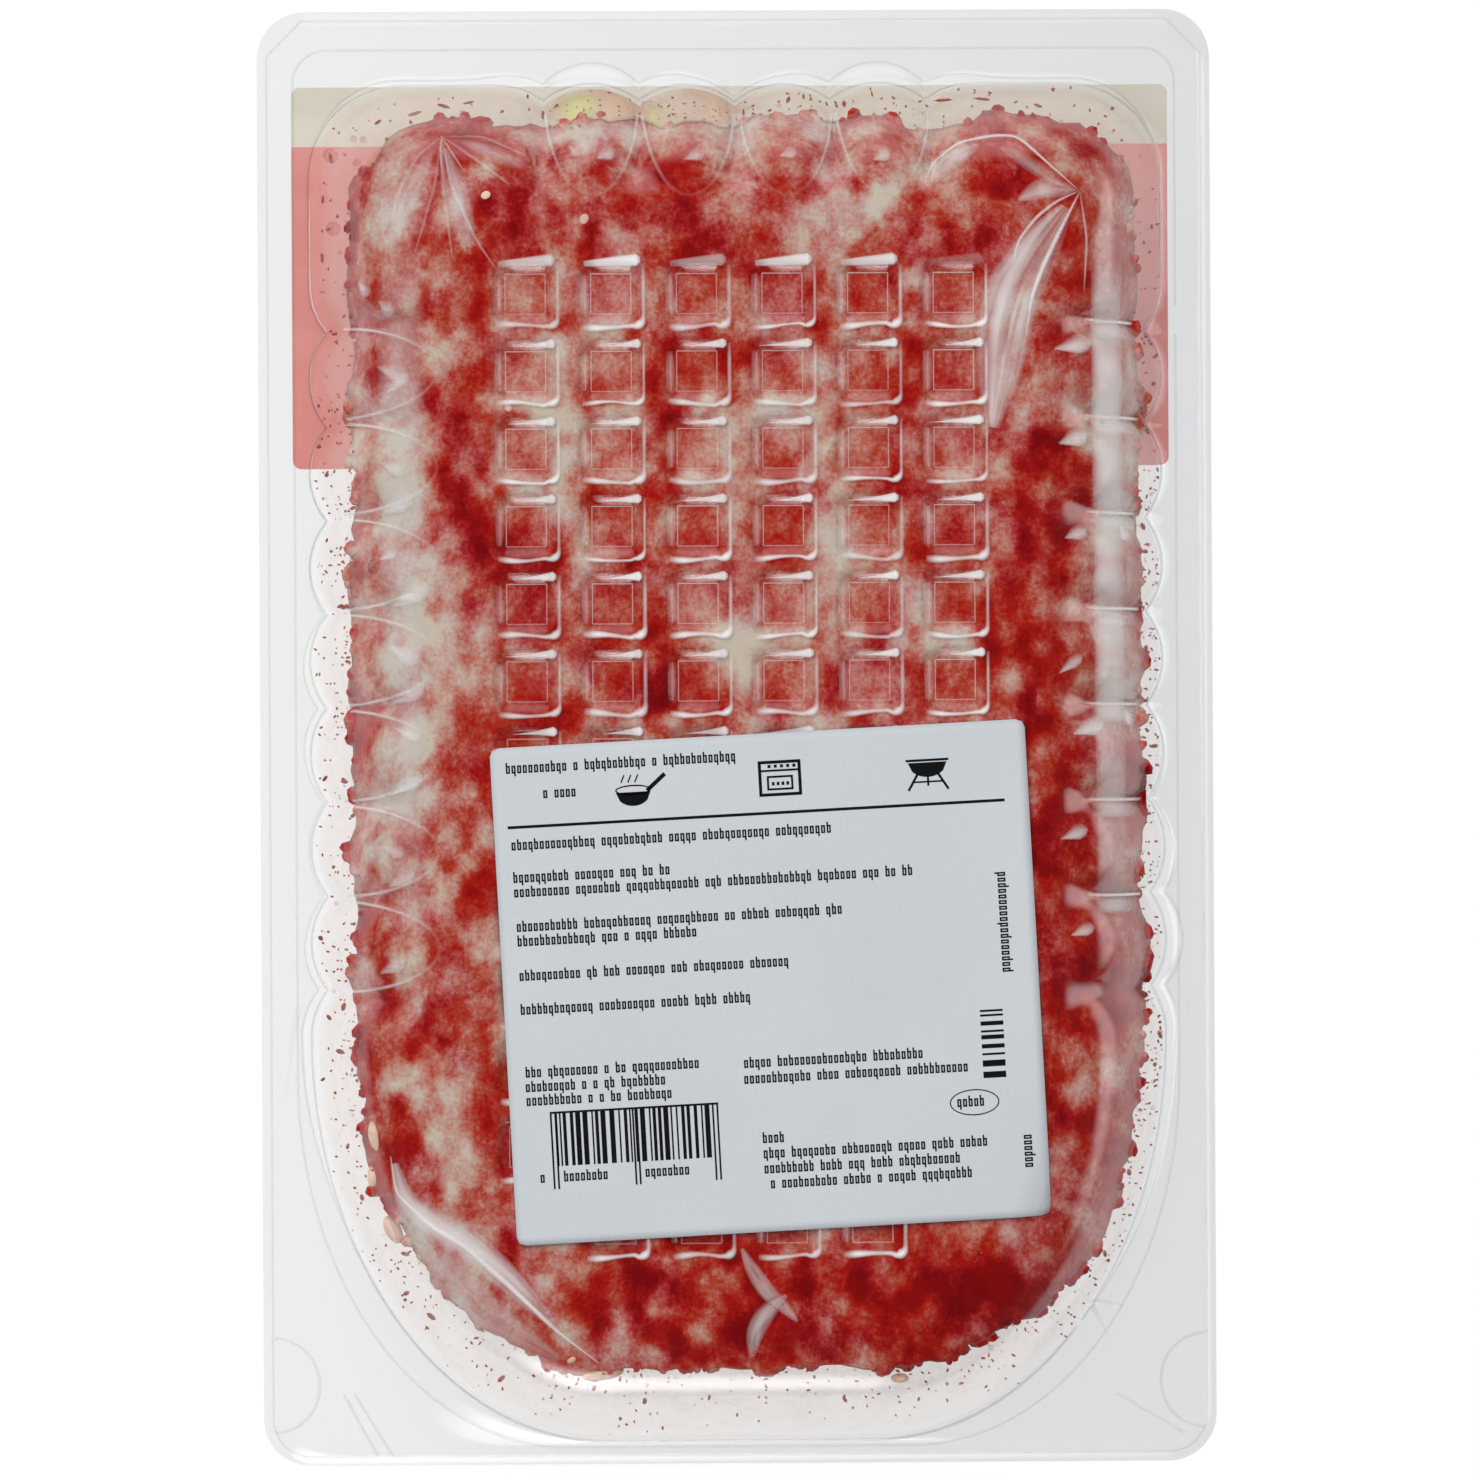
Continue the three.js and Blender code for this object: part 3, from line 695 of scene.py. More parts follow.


# Soft patches of deep red juice and of pale fat: x, y, half width, half length, strength.
DEEP_PATCHES = np.array([
    (-9, 78, 5, 8, 0.4), (-37, 25, 3.5, 11, 0.34), (-12, 20, 4, 7, 0.3), (0.5, 56, 3, 3.5, 0.5),
    (-14, 6, 22, 3.5, 0.22), (45, 32, 4.5, 10, 0.4), (42, 14, 5, 8, 0.32), (47, -9, 4.5, 18, 0.5),
    (47, -46, 4, 14, 0.42), (-6, -79, 12, 7, 0.34), (24, -79, 10, 6, 0.26), (40, -83, 13, 8, 0.34),
    (-38, 84, 4, 3, 0.3), (-33, 75, 4, 4, 0.24), (38, 82, 6, 4, 0.3), (32, 71, 5, 4, 0.22),
    (-52, -32, 2.5, 5, 0.4), (-54, -50, 3, 8, 0.3), (62, -32, 2.5, 6, 0.4), (-36, -54, 4, 6, 0.2),
    (4, -84, 46, 7, 0.2),
])
PALE_PATCHES = np.array([
    (-45, 10, 9, 9, 0.36), (-27, 40, 3.5, 10, 0.34), (-45, 58, 5, 5, 0.16), (13, 45, 8, 4, 0.36),
    (-5, 42, 3, 9, 0.34), (3, 13, 6, 6, 0.36), (31, 62, 8, 3, 0.3), (32, 46, 4, 4, 0.24),
    (-24, 12, 4, 4, 0.28), (-46, 34, 6, 9, 0.34), (-49, -8, 5, 8, 0.32), (-43, -58, 5, 9, 0.3),
    (-43, -73, 4, 4, 0.08), (28, 16, 5, 3, 0.28),
    # The first two patches on this line, over the right lobes, are pale fat and partly a painted highlight.
    (54, 42, 5, 12, 0.3), (56, 24, 4, 12, 0.24), (-51, 44, 4, 7, 0.26), (61, -62, 4, 8, 0.3),
    (-20, 77, 6, 3, 0.12), (-2, 89, 46, 4, 0.14), (4, -84, 3, 5, 0.2), (-50, 70, 4, 8, 0.06),
    (-43, -80, 5, 5, 0.14),
])


def fat_share(points):
    """How pale the mince is, from 0 to 1, at each point: clouds of four sizes, and the soft patches with
    their outlines unsettled by noise. It is deeper low on the sides and evens out under the recesses."""
    x, y, z = points.T
    x, y = x + 0.4 * z, y - 0.3 * z
    share = (0.515 + 0.13 * value_noise(x, y, 12, 21) + 0.24 * value_noise(x, 0.75 * y, 5.3, 22)
             + 0.26 * value_noise(x, 0.8 * y, 2.7, 23) + 0.12 * value_noise(x, y, 1.3, 28))
    x, y = points[:, 0], points[:, 1]
    shifted_x = x + 2.4 * value_noise(x, y, 7, 24) + 1.2 * value_noise(x, y, 3, 25)
    shifted_y = y + 2.4 * value_noise(x, y, 7, 26) + 1.2 * value_noise(x, y, 3, 27)
    for patches, sign in ((DEEP_PATCHES, -1), (PALE_PATCHES, 1)):
        for patch_x, patch_y, half_x, half_y, strength in patches:
            away = ((shifted_x - patch_x) / half_x) ** 2 + ((shifted_y - patch_y) / half_y) ** 2
            share += sign * 0.68 * strength * np.exp(-0.5 * away ** 1.5)
    share -= 0.1 * np.clip((33 - z) / 9, 0, 1)
    pressed = np.where(z > PACK_HEIGHT / 2, waffle(x, y) / WAFFLE_DEPTH, 0)
    return share + 0.6 * pressed * (0.4 - share)


def minced_meat():
    """Pressed mince: from deep red juice through red and pink meat to pale smears of fat, in soft marbling
    with grains over it, some places warmer in tone than others, and a soft sheen."""
    finish = Finish("minced_meat")
    marbling = finish.noise(4.2, 5.0, 0.66, 0.1, place=finish.stretched(1.2, 0.85, 1))
    grain = finish.noise(0.7, 3.0, 0.7)
    warmth = finish.noise(8, 2.0)
    share = finish.attribute("fat_share") + (marbling - 0.5) + 0.55 * (grain - 0.5)
    cold = finish.ramp(share, [
        (0.04, srgb(130, 0, 8)), (0.24, srgb(166, 16, 22)), (0.4, srgb(187, 66, 64)),
        (0.54, srgb(203, 114, 108)), (0.7, srgb(210, 158, 150)), (0.95, srgb(218, 204, 194)),
    ])
    warm = finish.ramp(share, [
        (0.04, srgb(150, 6, 6)), (0.24, srgb(182, 26, 16)), (0.4, srgb(188, 70, 52)),
        (0.54, srgb(202, 116, 101)), (0.7, srgb(211, 160, 145)), (0.95, srgb(220, 205, 189)),
    ])
    colour = finish.mix(warmth.step(0.34, 0.58), cold, warm)
    skin = finish.node("ShaderNodeBsdfPrincipled", {}, {
        "Base Color": colour, "Roughness": 0.5, "Specular IOR Level": 0.2,
        "Normal": finish.bump(marbling, 0.5)})
    return finish.done(skin)


def give_field(piece, name, values):
    """Stores one number for each vertex."""
    layer = piece.data.attributes.new(name, "FLOAT", "POINT")
    layer.data.foreach_set("value", np.asarray(values, np.float32))


meat_points, meat_faces = meat_shell()
meat_piece = make_mesh("mince_heap", meat_points, meat_faces, minced_meat())
give_field(meat_piece, "fat_share", fat_share(meat_points))
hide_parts("meat")
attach(meat_piece, "root")


# Painted highlights on the tray
# Where the sheet bends sharply, in creases round the lobes, folds near the corners and the lips of the
# recesses, it catches the light. These highlights, and reflections of windows, are painted on thin strips on
# its outer face, white and glowing faintly.
wall_angles = np.linspace(math.pi / 2, 0, 160)


def wall_table(inset):
    """The wall's share outward and height, for every angle and station."""
    sections = [wall_section(np.full(len(stations), angle), inset) for angle in wall_angles]
    return np.array([out for out, up in sections]), np.array([up for out, up in sections])


outer_table = wall_table(0)
inner_table = wall_table(WALL)


def tray_height(x, y, table, inset):
    """Height of the tray's face over x, y: from the wall of the station that x, y lies across, or on the
    base."""
    x, y = np.asarray(x, float), np.asarray(y, float)
    aside = x[:, None] - foot[:, 0], y[:, None] - foot[:, 1]
    along = (aside[0] * outward[:, 0] + aside[1] * outward[:, 1]) / reach
    across = np.abs(aside[0] * outward[:, 1] - aside[1] * outward[:, 0]) + 100 * (along < 0)
    station = across.argmin(1)
    share = along[np.arange(len(x)), station]
    out, up = table[0][:, station], table[1][:, station]
    level = np.clip((out < share).sum(0), 1, len(wall_angles) - 1)
    here = np.arange(len(x))
    low, high = out[level - 1, here], out[level, here]
    part = np.clip((share - low) / np.maximum(high - low, 1e-6), 0, 1)
    height = RIM_BOTTOM + DEPTH * (up[level - 1, here] * (1 - part) + up[level, here] * part)
    on_base = (across.min(1) > 50) | (share <= 0)
    return np.where(on_base, PACK_HEIGHT - inset - waffle(x, y, inset), height)


def tube(path, radii, sides=6):
    """A closed bead along a path: rings of points across it, and a point at each end."""
    path = np.asarray(path, float)
    ahead = np.gradient(path, axis=0)
    ahead /= np.linalg.norm(ahead, axis=1)[:, None]
    level = np.cross(ahead, [0, 0, 1.0])
    level /= np.maximum(np.linalg.norm(level, axis=1), 1e-6)[:, None]
    upright = np.cross(level, ahead)
    angle = np.linspace(0, 2 * np.pi, sides, endpoint=False)
    radii = np.broadcast_to(radii, len(path))[:, None, None]
    cos, sin = np.cos(angle)[:, None], np.sin(angle)[:, None]
    rings = path[:, None] + radii * (cos * level[:, None] + sin * upright[:, None])
    count = len(path)
    index = np.arange(count * sides).reshape(count, sides)
    after = np.roll(index, -1, 1)
    quads = np.stack([index[:-1], after[:-1], after[1:], index[1:]], -1).reshape(-1, 4)
    faces = np.concatenate([quads[:, [0, 1, 2]], quads[:, [0, 2, 3]]])
    first = np.stack([np.full(sides, count * sides), after[0], index[0]], -1)
    last = np.stack([np.full(sides, count * sides + 1), index[-1], after[-1]], -1)
    points = np.concatenate([rings.reshape(-1, 3), path[:1], path[-1:]])
    return points, np.concatenate([faces, first, last])


def joined(parts):
    """Several bodies as one list of points and one of faces."""
    offsets = np.cumsum([0] + [len(points) for points, faces in parts])
    return (np.concatenate([points for points, faces in parts]),
            np.concatenate([faces + offset for (points, faces), offset in zip(parts, offsets)]))


def smooth_path(corners, step):
    """A smooth path through some corners, a point each step."""
    corners = np.array(corners, float)
    length = np.concatenate([[0], np.cumsum(np.linalg.norm(np.diff(corners, axis=0), axis=1))])
    places = np.linspace(0, length[-1], max(int(length[-1] / step), 8))
    path = np.stack([np.interp(places, length, corners[:, i]) for i in range(2)], -1)
    for _ in range(3):
        path[1:-1] = (path[:-2] + 2 * path[1:-1] + path[2:]) / 4
    return path


STRIP_LIFTS = (0.07, 0.03)


def strip(path, half_widths, strengths, across=5, power=2.0, lean=0.0, on_base=False):
    """A thin closed strip that follows the tray's outer face along a path, and how strong its painted
    highlight is
    at each point: its strength along the path times (1 - |v| ** power) * (1 + lean * v) / (1 + |lean|) across
    it, where v runs from -1 on its left to 1 on its right."""
    ahead = np.gradient(path, axis=0)
    ahead /= np.linalg.norm(ahead, axis=1)[:, None]
    aside = np.column_stack([ahead[:, 1], -ahead[:, 0]])
    v = np.linspace(-1, 1, across)
    widths = np.broadcast_to(half_widths, len(path))
    places = path[:, None] + aside[:, None] * (v[:, None] * widths[:, None, None])
    x, y = places[..., 0].ravel(), places[..., 1].ravel()
    height = PACK_HEIGHT - waffle(x, y) if on_base else tray_height(x, y, outer_table, 0)
    height = height.reshape(len(path), across, 1)
    top, bottom = (np.concatenate([places, height + lift], 2) for lift in STRIP_LIFTS)
    points, quads = shell(top, [], bottom)
    section = (1 - np.abs(v) ** power) * (1 + lean * v) / (1 + abs(lean))
    highlight_strength = np.broadcast_to(strengths, len(path))[:, None] * section
    return points, quads, np.tile(highlight_strength.ravel(), 2)


def swelling(count, start, end, power=0.7):
    """A profile along a path: a half wave that begins and ends at given shares of its height."""
    return np.sin(np.linspace(math.asin(start), np.pi - math.asin(end), count)) ** power


def crease_highlights():
    """A painted highlight along a crease round the inner end of each left and top lobe: half an ellipse from
    the wall's edge in to the base. The right lobes have a painted highlight along a straight crease between
    them, and a paler painted sheen on the flat under it."""
    turn = np.radians(np.linspace(-80, 80, 40))
    strips = []
    half = SIDE_PITCH / 2 * 0.97
    for i in range(SIDE_LOBES):
        middle = FIRST_CREASE - (i + 0.5) * SIDE_PITCH
        path = np.column_stack([-60.5 + 16.6 * np.cos(turn), middle + half * np.sin(turn)])
        strips.append(strip(path, 0.34, 0.05 + 0.5 * np.abs(np.sin(turn)) ** 2.5, 7, 1.3))
    half = TOP_PITCH / 2 * 0.97
    for i in range(TOP_LOBES):
        middle = TOP_END - (i + 0.5) * TOP_PITCH
        path = np.column_stack([middle + half * np.sin(turn), 94.0 - 15.5 * np.cos(turn)])
        strips.append(strip(path, 0.34, 0.03 + 0.4 * np.abs(np.sin(turn)) ** 3, 7, 1.3))
    for i in range(SIDE_LOBES):
        crease = FIRST_CREASE - i * SIDE_PITCH
        line = smooth_path([(50.2, crease + 0.1), (54, crease), (59.6, crease)], 0.6)
        strips.append(strip(line, 0.3, 0.85 * swelling(len(line), 0.1, 0.5)))
        flat = smooth_path([(50.8, crease - 1.5), (58, crease - 1.5)], 0.6)
        strips.append(strip(flat, 1.2, 0.38 * swelling(len(flat), 0.05, 0.1, 1.2), 7, 3.0))
    return strips


# Painted highlights along folds: half the width at the widest place, the strength, then the corners of the
# path.
FOLD_HIGHLIGHTS = [
    (0.3, 0.22, [(-43, 87.4), (-46.5, 84.5), (-49.4, 79), (-50.6, 73)]),
    (0.26, 0.2, [(-43, 87.4), (-44, 80), (-47, 70)]), (0.3, 0.24, [(-43, 87.4), (-42.8, 80), (-41.4, 69)]),
    (0.26, 0.3, [(-43, 87.4), (-41.6, 80), (-38, 72), (-35, 67.6)]),
    (0.24, 0.26, [(-43, 87.4), (-38.6, 84.3), (-33, 80)]), (0.2, 0.22, [(-43, 87.4), (-37, 87.4), (-30, 84)]),
    (0.16, 0.4, [(-43, 87.4), (-43.2, 85), (-43, 82)]), (0.16, 0.35, [(-43, 87.4), (-41.6, 85), (-39.6, 82)]),
    (2.2, 0.32, [(-42.6, 85.5), (-41, 79), (-39, 70)]), (1.8, 0.28, [(-44.5, 85), (-48, 79), (-49.5, 72)]),
    (1.6, 0.25, [(-46, 88), (-50.5, 84), (-53.5, 78)]), (1.3, 0.25, [(-40, 86.5), (-35, 84.5), (-31, 82.5)]),
    (0.26, 0.75, [(27, 80), (28, 83), (32, 86.2), (37, 87.2), (40.5, 87.2), (44.5, 83.4), (49.4, 79)]),
    (1.7, 0.4, [(28, 80), (30, 83.6), (35, 85.8)]), (1.2, 0.25, [(38, 85.5), (42.5, 82.8), (47, 79.6)]),
    (0.25, 0.7, [(49.4, 78.9), (46, 77.4), (43, 75), (40.2, 71.4), (39.7, 68)]),
    (0.34, 0.9, [(49.4, 78.6), (46.4, 72.9), (43.9, 67.8), (42.3, 63.5), (41.4, 57.5)]),
    (4.3, 0.8, [(47.5, 76.5), (43.4, 70.6), (39.7, 64.4), (38.3, 59.1), (37.8, 54.5), (37.1, 49),
                (36.6, 44.6)]),
    (1.6, 0.45, [(49, 79), (44, 79.5), (40.5, 77.6)]), (0.2, 0.45, [(49.5, 79), (50.5, 72), (50, 64)]),
    (2.6, 0.6, [(-50.6, -61.5), (-49.4, -66.4), (-45.3, -70.2), (-40.5, -72.9), (-34, -78.6),
                (-27.6, -84.9)]),
    (0.4, 0.8, [(-51.2, -60.5), (-50.4, -66), (-45.3, -70.6), (-40.5, -73.4), (-34, -79.2), (-27.6, -85.5),
                (-21.1, -90.6)]),
    (4.4, 0.3, [(-52, -66), (-45.5, -77), (-37.5, -84.5), (-27, -90)]),
    (1.3, 0.4, [(-0.4, -74), (1.0, -77), (3.4, -80.6), (5.2, -82), (7.6, -84.6)]),
    (1.5, 0.4, [(6.0, -80.8), (3.2, -83), (1.4, -86), (0.9, -90)]),
    (0.35, 0.7, [(48, -80), (52, -84), (55, -90)]), (0.3, 0.6, [(52, -84), (57, -85)]),
]


def fold_highlights():
    """Painted highlights along folds, the wide ones with streaks along them: smooth noise over the places
    across and along.
    """
    strips = []
    for seed, (half_width, strength, corners) in enumerate(FOLD_HIGHLIGHTS):
        path = smooth_path(corners, 0.7)
        profile = swelling(len(path), 0.12, 0.1)
        thin = half_width < 1
        count, power = (7, 1.4) if thin else (19, 2.0)
        fading = strength * profile ** 0.5 * (0.75 if thin else 1)
        widths = half_width * profile * (1.3 if thin else 1)
        points, quads, highlight_strength = strip(path, widths, fading, count, power)
        if not thin:
            v = np.tile(np.tile(np.linspace(-1, 1, count), len(path)), 2)
            drift = np.repeat(np.linspace(0, 1, len(path)), count)
            wide = value_noise(v * half_width, np.tile(drift, 2) * 3, 1.4, 60 + seed)
            fine = value_noise(v * half_width, np.tile(drift, 2) * 2, 0.45, 90 + seed)
            highlight_strength = highlight_strength * np.clip(0.66 + 0.4 * wide + 0.3 * fine, 0.05, 1)
        strips.append((points, quads, highlight_strength))
    return strips


# Glints where the sheet turns sharply: x, y, how far each reaches in x and in y, half the width, strength.
GLINTS = [
    (45.6, 56.0, 5.6, 1.2, 1.4, 0.9), (46.2, 42.3, 4.2, 1.6, 1.5, 0.9), (47.0, 28.6, 3.2, 1.4, 1.2, 0.75),
    (46.0, 9.0, 3.4, 2.6, 0.9, 0.7), (48.0, 0.2, 4.6, 1.8, 1.4, 0.85), (46.2, -15.0, 3.9, 1.6, 1.1, 0.75),
    (47.6, -29.0, 3.4, 1.4, 1.0, 0.7), (55.6, 30.6, 0.9, -2.4, 0.9, 0.9), (56.2, 3.8, 0.9, -2.4, 0.9, 0.9),
    (-52.5, 54.0, 4.6, -1.6, 1.4, 0.5), (-51.2, 50.2, 3.2, 2.6, 1.0, 0.55),
    (-52.0, 40.0, 3.4, -1.4, 1.0, 0.5), (-52.2, 32.6, 4.6, 2.8, 1.5, 0.7),
    (-52.4, 26.0, 2.6, 1.2, 0.8, 0.6), (-50.4, 19.2, 5.0, 3.2, 1.6, 0.75),
    (-51.0, 13.4, 4.6, -2.0, 1.5, 0.55), (-50.8, 5.0, 4.8, 3.0, 1.4, 0.6),
    (-50.2, 1.6, 3.8, -1.4, 1.0, 0.6), (-50.6, -8.0, 4.2, 3.0, 1.4, 0.75),
    (-52.0, -15.5, 3.2, -1.2, 1.1, 0.5), (-51.4, -21.5, 3.8, 2.4, 1.2, 0.6),
    (-52.6, -34.0, 3.6, 2.0, 1.2, 0.55), (-20.6, 84.0, 2.6, 1.4, 1.2, 0.6),
    (-24.5, 86.0, 1.6, -1.6, 0.8, 0.5), (-7.8, 83.8, 2.8, 1.3, 1.1, 0.6),
    (6.0, 84.2, 2.4, 1.0, 1.0, 0.55), (19.5, 83.6, 2.4, 1.2, 1.1, 0.6),
    (-55.2, 66.5, 1.6, -2.2, 0.9, 0.6), (-52.2, 63.5, 2.2, -1.8, 1.1, 0.5),
]


def glints():
    """Short strips, brightest in the middle, widest past it, and whiter along one side."""
    strips = []
    for x, y, run_x, run_y, half_width, strength in GLINTS:
        path = smooth_path([(x, y), (x + run_x, y + run_y)], 0.25)
        share = np.linspace(0, 1, len(path))
        profile = np.interp(share, [0, 0.6, 0.85, 1], [0.1, 1, 0.9, 0.3])
        fading = strength * np.sin(np.pi * (0.06 + 0.9 * share)) ** 0.6
        strips.append(strip(path, 1.15 * half_width * profile, fading, 11, 2.0, 0.75))
    return strips


# Reflected windows: x at the top, half width, strength, and how square the band is across.
WINDOWS = ((53.4, 2.5, 0.64, 3.0), (-49.2, 3.6, 0.3, 2.0))


def window_bands():
    """Painted reflections of windows: pale upright bands over the lobes, broken up by smooth noise."""
    strips = []
    for x, half_width, strength, power in WINDOWS:
        path = smooth_path([(x, 75), (x + 0.1, 40), (x + 0.3, 10), (x + 0.6, -30)], 0.8)
        broken = 0.72 + 0.4 * value_noise(path[:, 0], path[:, 1], 3.1, 71)
        fading = np.interp(path[:, 1], [-30, 0, 59, 61, 75], [0.1, 0.8, 1, 0.75, 0.05])
        strips.append(strip(path, half_width, strength * np.clip(broken, 0, 1) * fading, 11, power))
    return strips


LOW_LINE_ANGLE = math.radians(15)


def wall_highlight_line():
    """A painted highlight line low on the wall, all round the cavity."""
    ring = wall_points(np.full(len(stations), LOW_LINE_ANGLE), 0)[:, :2]
    strength = np.clip(0.4 + 0.5 * value_noise(ring[:, 0], ring[:, 1], 9, 72), 0.05, 0.8)
    return [strip(ring, 0.22, strength, 5, 1.5)]


# How brightly the upper sides of the top row of recesses shine, from left to right.
TOP_ROW_LIGHT = (0.75, 1.0, 0.4, 1.0, 0.9, 0.12)
LIP_OUTSIDE = 0.15
LIP_CORNER = 1.3
WING_POINTS = 14
WING_RIGHT = 4.3


def recess_lights():
    """Painted highlights round each recess: pale lines along the lower and right lips, a wing of light on the
    upper side that narrows to the left, and a thin square round the floor."""
    half = WAFFLE_MOUTH / 2 + LIP_OUTSIDE
    bend = np.radians(np.linspace(-80, 0, 6))
    low = np.column_stack([np.linspace(-half + 0.5, half - 1.4, 12), np.full(12, -half)])
    corner = np.column_stack([half - LIP_CORNER + LIP_CORNER * np.cos(bend),
                              -half + LIP_CORNER + LIP_CORNER * np.sin(bend)])
    up = np.column_stack([np.full(9, half), np.linspace(-half + 1.8, half - 0.6, 9)])
    lip = np.concatenate([low, corner, up])
    share = np.linspace(0, 1, len(lip))
    lip_width = (0.3 + 0.24 * np.exp(-((share - 0.08) / 0.12) ** 2)
                 + 0.36 * np.exp(-((share - 0.52) / 0.09) ** 2))
    lip_strength = np.interp(share, [0, 0.1, 0.3, 0.52, 0.68, 0.88, 1],
                             [0.1, 0.95, 0.55, 1.0, 0.34, 0.45, 0.1])
    floor = WAFFLE_FLAT / 2 + 0.05
    square = np.array([(-floor, floor), (floor, floor), (floor, -floor), (-floor, -floor), (-floor, floor)])
    choose = np.random.default_rng(61)
    strips = []
    for i, row_y in enumerate(row_places):
        top_row = i == WAFFLE_ROWS - 1
        for column_x in column_places[1:-1] if i == 0 else column_places:
            place = (column_x, row_y)
            phase = 2 * np.pi * share * choose.uniform(0.8, 1.6) + choose.uniform(0, 6)
            wave = 0.3 * np.sin(phase) * (share < 0.42)
            shape = lip + np.column_stack([0 * wave, wave])
            level = choose.uniform(0.65, 1.0)
            widths = lip_width * choose.uniform(0.8, 1.25)
            strips.append(strip(shape + place, widths, level * lip_strength, 5, 1.4, on_base=True))
            start = -3.9 if top_row else choose.uniform(-3.6, -0.9)
            low, high = (4.3, 4.9) if top_row else (3.6, 4.0)
            wing = np.linspace((start, low), (WING_RIGHT, high), WING_POINTS)
            taper = np.linspace(0, 1, WING_POINTS)
            width = 0.5 + 0.55 * taper if top_row else 0.06 + 0.84 * taper ** 1.7
            width[-1] *= 0.45
            strength = np.interp(np.arange(WING_POINTS), [0, 3, 12, 13], [0.3, 0.8, 0.95, 0.5])
            strength *= choose.uniform(0.75, 1.0)
            if top_row:
                strength *= TOP_ROW_LIGHT[np.abs(column_places - column_x).argmin()]
            strips.append(strip(wing + place, width, strength, 7, 4.0, on_base=True))
            for first, last, white in zip(square, square[1:], (0.5, 0.35, 0.3, 0.4)):
                line = first + (last - first) * np.linspace(0, 1, 7)[:, None]
                strips.append(strip(line + place, 0.13, white * level, 3, 2.0, on_base=True))
    return strips


def painted_highlight_plastic():
    """Painted highlights: a white that glows faintly, mixed over clear by the strip's own strength, only
    where a face is seen from its front."""
    finish = Finish("painted_highlight_plastic")
    # Painted highlight: a white that also glows faintly, though it is no lamp.
    white = finish.node("ShaderNodeBsdfPrincipled", {}, {
        "Base Color": (0.98, 0.97, 0.96, 1), "Roughness": 0.3, "Emission Color": (1, 0.98, 0.97, 1),
        "Emission Strength": 0.12})
    through = finish.node("ShaderNodeBsdfTransparent", {}, {"Color": (1, 1, 1, 1)})
    backfacing = finish.node("ShaderNodeNewGeometry", {}, {}, "Backfacing")
    cover = (finish.attribute("highlight_strength") * (1 - backfacing)).clamped()
    return finish.done(finish.mix_shader(cover, through, white))


# Painted highlights and reflections, on strips over the tray and round the recesses.
highlight_finish = painted_highlight_plastic()
painted_highlight_strips = {"tray_painted_highlights": crease_highlights() + fold_highlights() + glints() + window_bands() + wall_highlight_line(),
                   "recess_painted_highlights": recess_lights()}
for name, strips in painted_highlight_strips.items():
    piece = make_mesh(name, *joined([(points, quads) for points, quads, highlight_strength in strips]), highlight_finish)
    give_field(piece, "highlight_strength", np.concatenate([highlight_strength for points, quads, highlight_strength in strips]))
    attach(piece, "root")


# Rim lines
# Fine raised lines pressed in the rim: two lines all round, short ones at the lower corners and two half
# discs at the sides to peel the film by. Two more run round the wall, where it meets the rim. Their plastic
# is tinted darker than the sheet, the wall line farther from the rim most of all, a painted shade that
# outlines them.
RIM_FACE = RIM_BOTTOM + RIM_THICKNESS + PAD_RISE


def rim_path(points):
    """Places on the rim as points on its upper face."""
    return np.column_stack([points, np.full(len(points), RIM_FACE)])


SHORT_LINES = ([(-59, -97.5), (-54, -106.6)], [(-57.4, -97.5), (-51.8, -106.6)], [(56, -98), (66, -104)])


def rim_lines():
    """The beads on the rim, each a tube along a path on its upper face."""
    u = np.linspace(0, RUNS, 400, endpoint=False)
    line_size = {"side": 65.6, "top": 102.4, "bottom": -105.6,
                 "top_corner": (5, 5), "bottom_corner": (40, 55)}
    round_line = outline(line_size, u)
    lines = [tube(rim_path(np.concatenate([round_line[60:], round_line[:58]])), 0.16)]
    angle = np.linspace(-np.pi / 2, np.pi / 2, 30)
    for side in (-1, 1):
        disc = np.column_stack([side * (69.2 - 6.6 * np.cos(angle)), -96.1 + 7.0 * np.sin(angle)])
        lines.append(tube(rim_path(disc), 0.2))
    pad_line = outline(PAD, np.linspace(0, RUNS, 500, endpoint=False), chamfered=True)
    lines.append(tube(rim_path(pad_line), 0.14))
    for corners in SHORT_LINES:
        line = np.linspace(*np.array(corners, float), 16)
        lines.append(tube(rim_path(line), 0.18))
    return lines


LOW_ANGLES = np.radians([2.2, 6])
LOW_LINE_RADIUS = 0.15
low_walls = [tube(wall_points(np.full(len(stations), angle), 0), LOW_LINE_RADIUS) for angle in LOW_ANGLES]
rim_line_plastic = clear_plastic("rim_line_plastic", (0.97, 0.975, 0.98, 1), (0.85, 0.855, 0.86, 1), 0.15)
# Darker still: a painted shade line low on the wall.
foot_shade_line_plastic = clear_plastic("foot_shade_line_plastic", (0.94, 0.945, 0.95, 1), (0.74, 0.75, 0.76, 1), 0.15)
rim_piece = make_mesh("rim_lines", *joined(rim_lines() + low_walls[:1]), rim_line_plastic)
foot_line = make_mesh("wall_foot_line", *low_walls[1], foot_shade_line_plastic)
for piece in (rim_piece, foot_line):
    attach(piece, "root")


# Juice on the wall
# Grease and juice on the inner face of the clear wall: a thin uneven veil, many tiny flecks that thin out
# away from the meat, and clear drops.
VEIL_END = math.radians(14)
VEIL_OVERLAP = 0.012
VEIL_GAP = 0.06


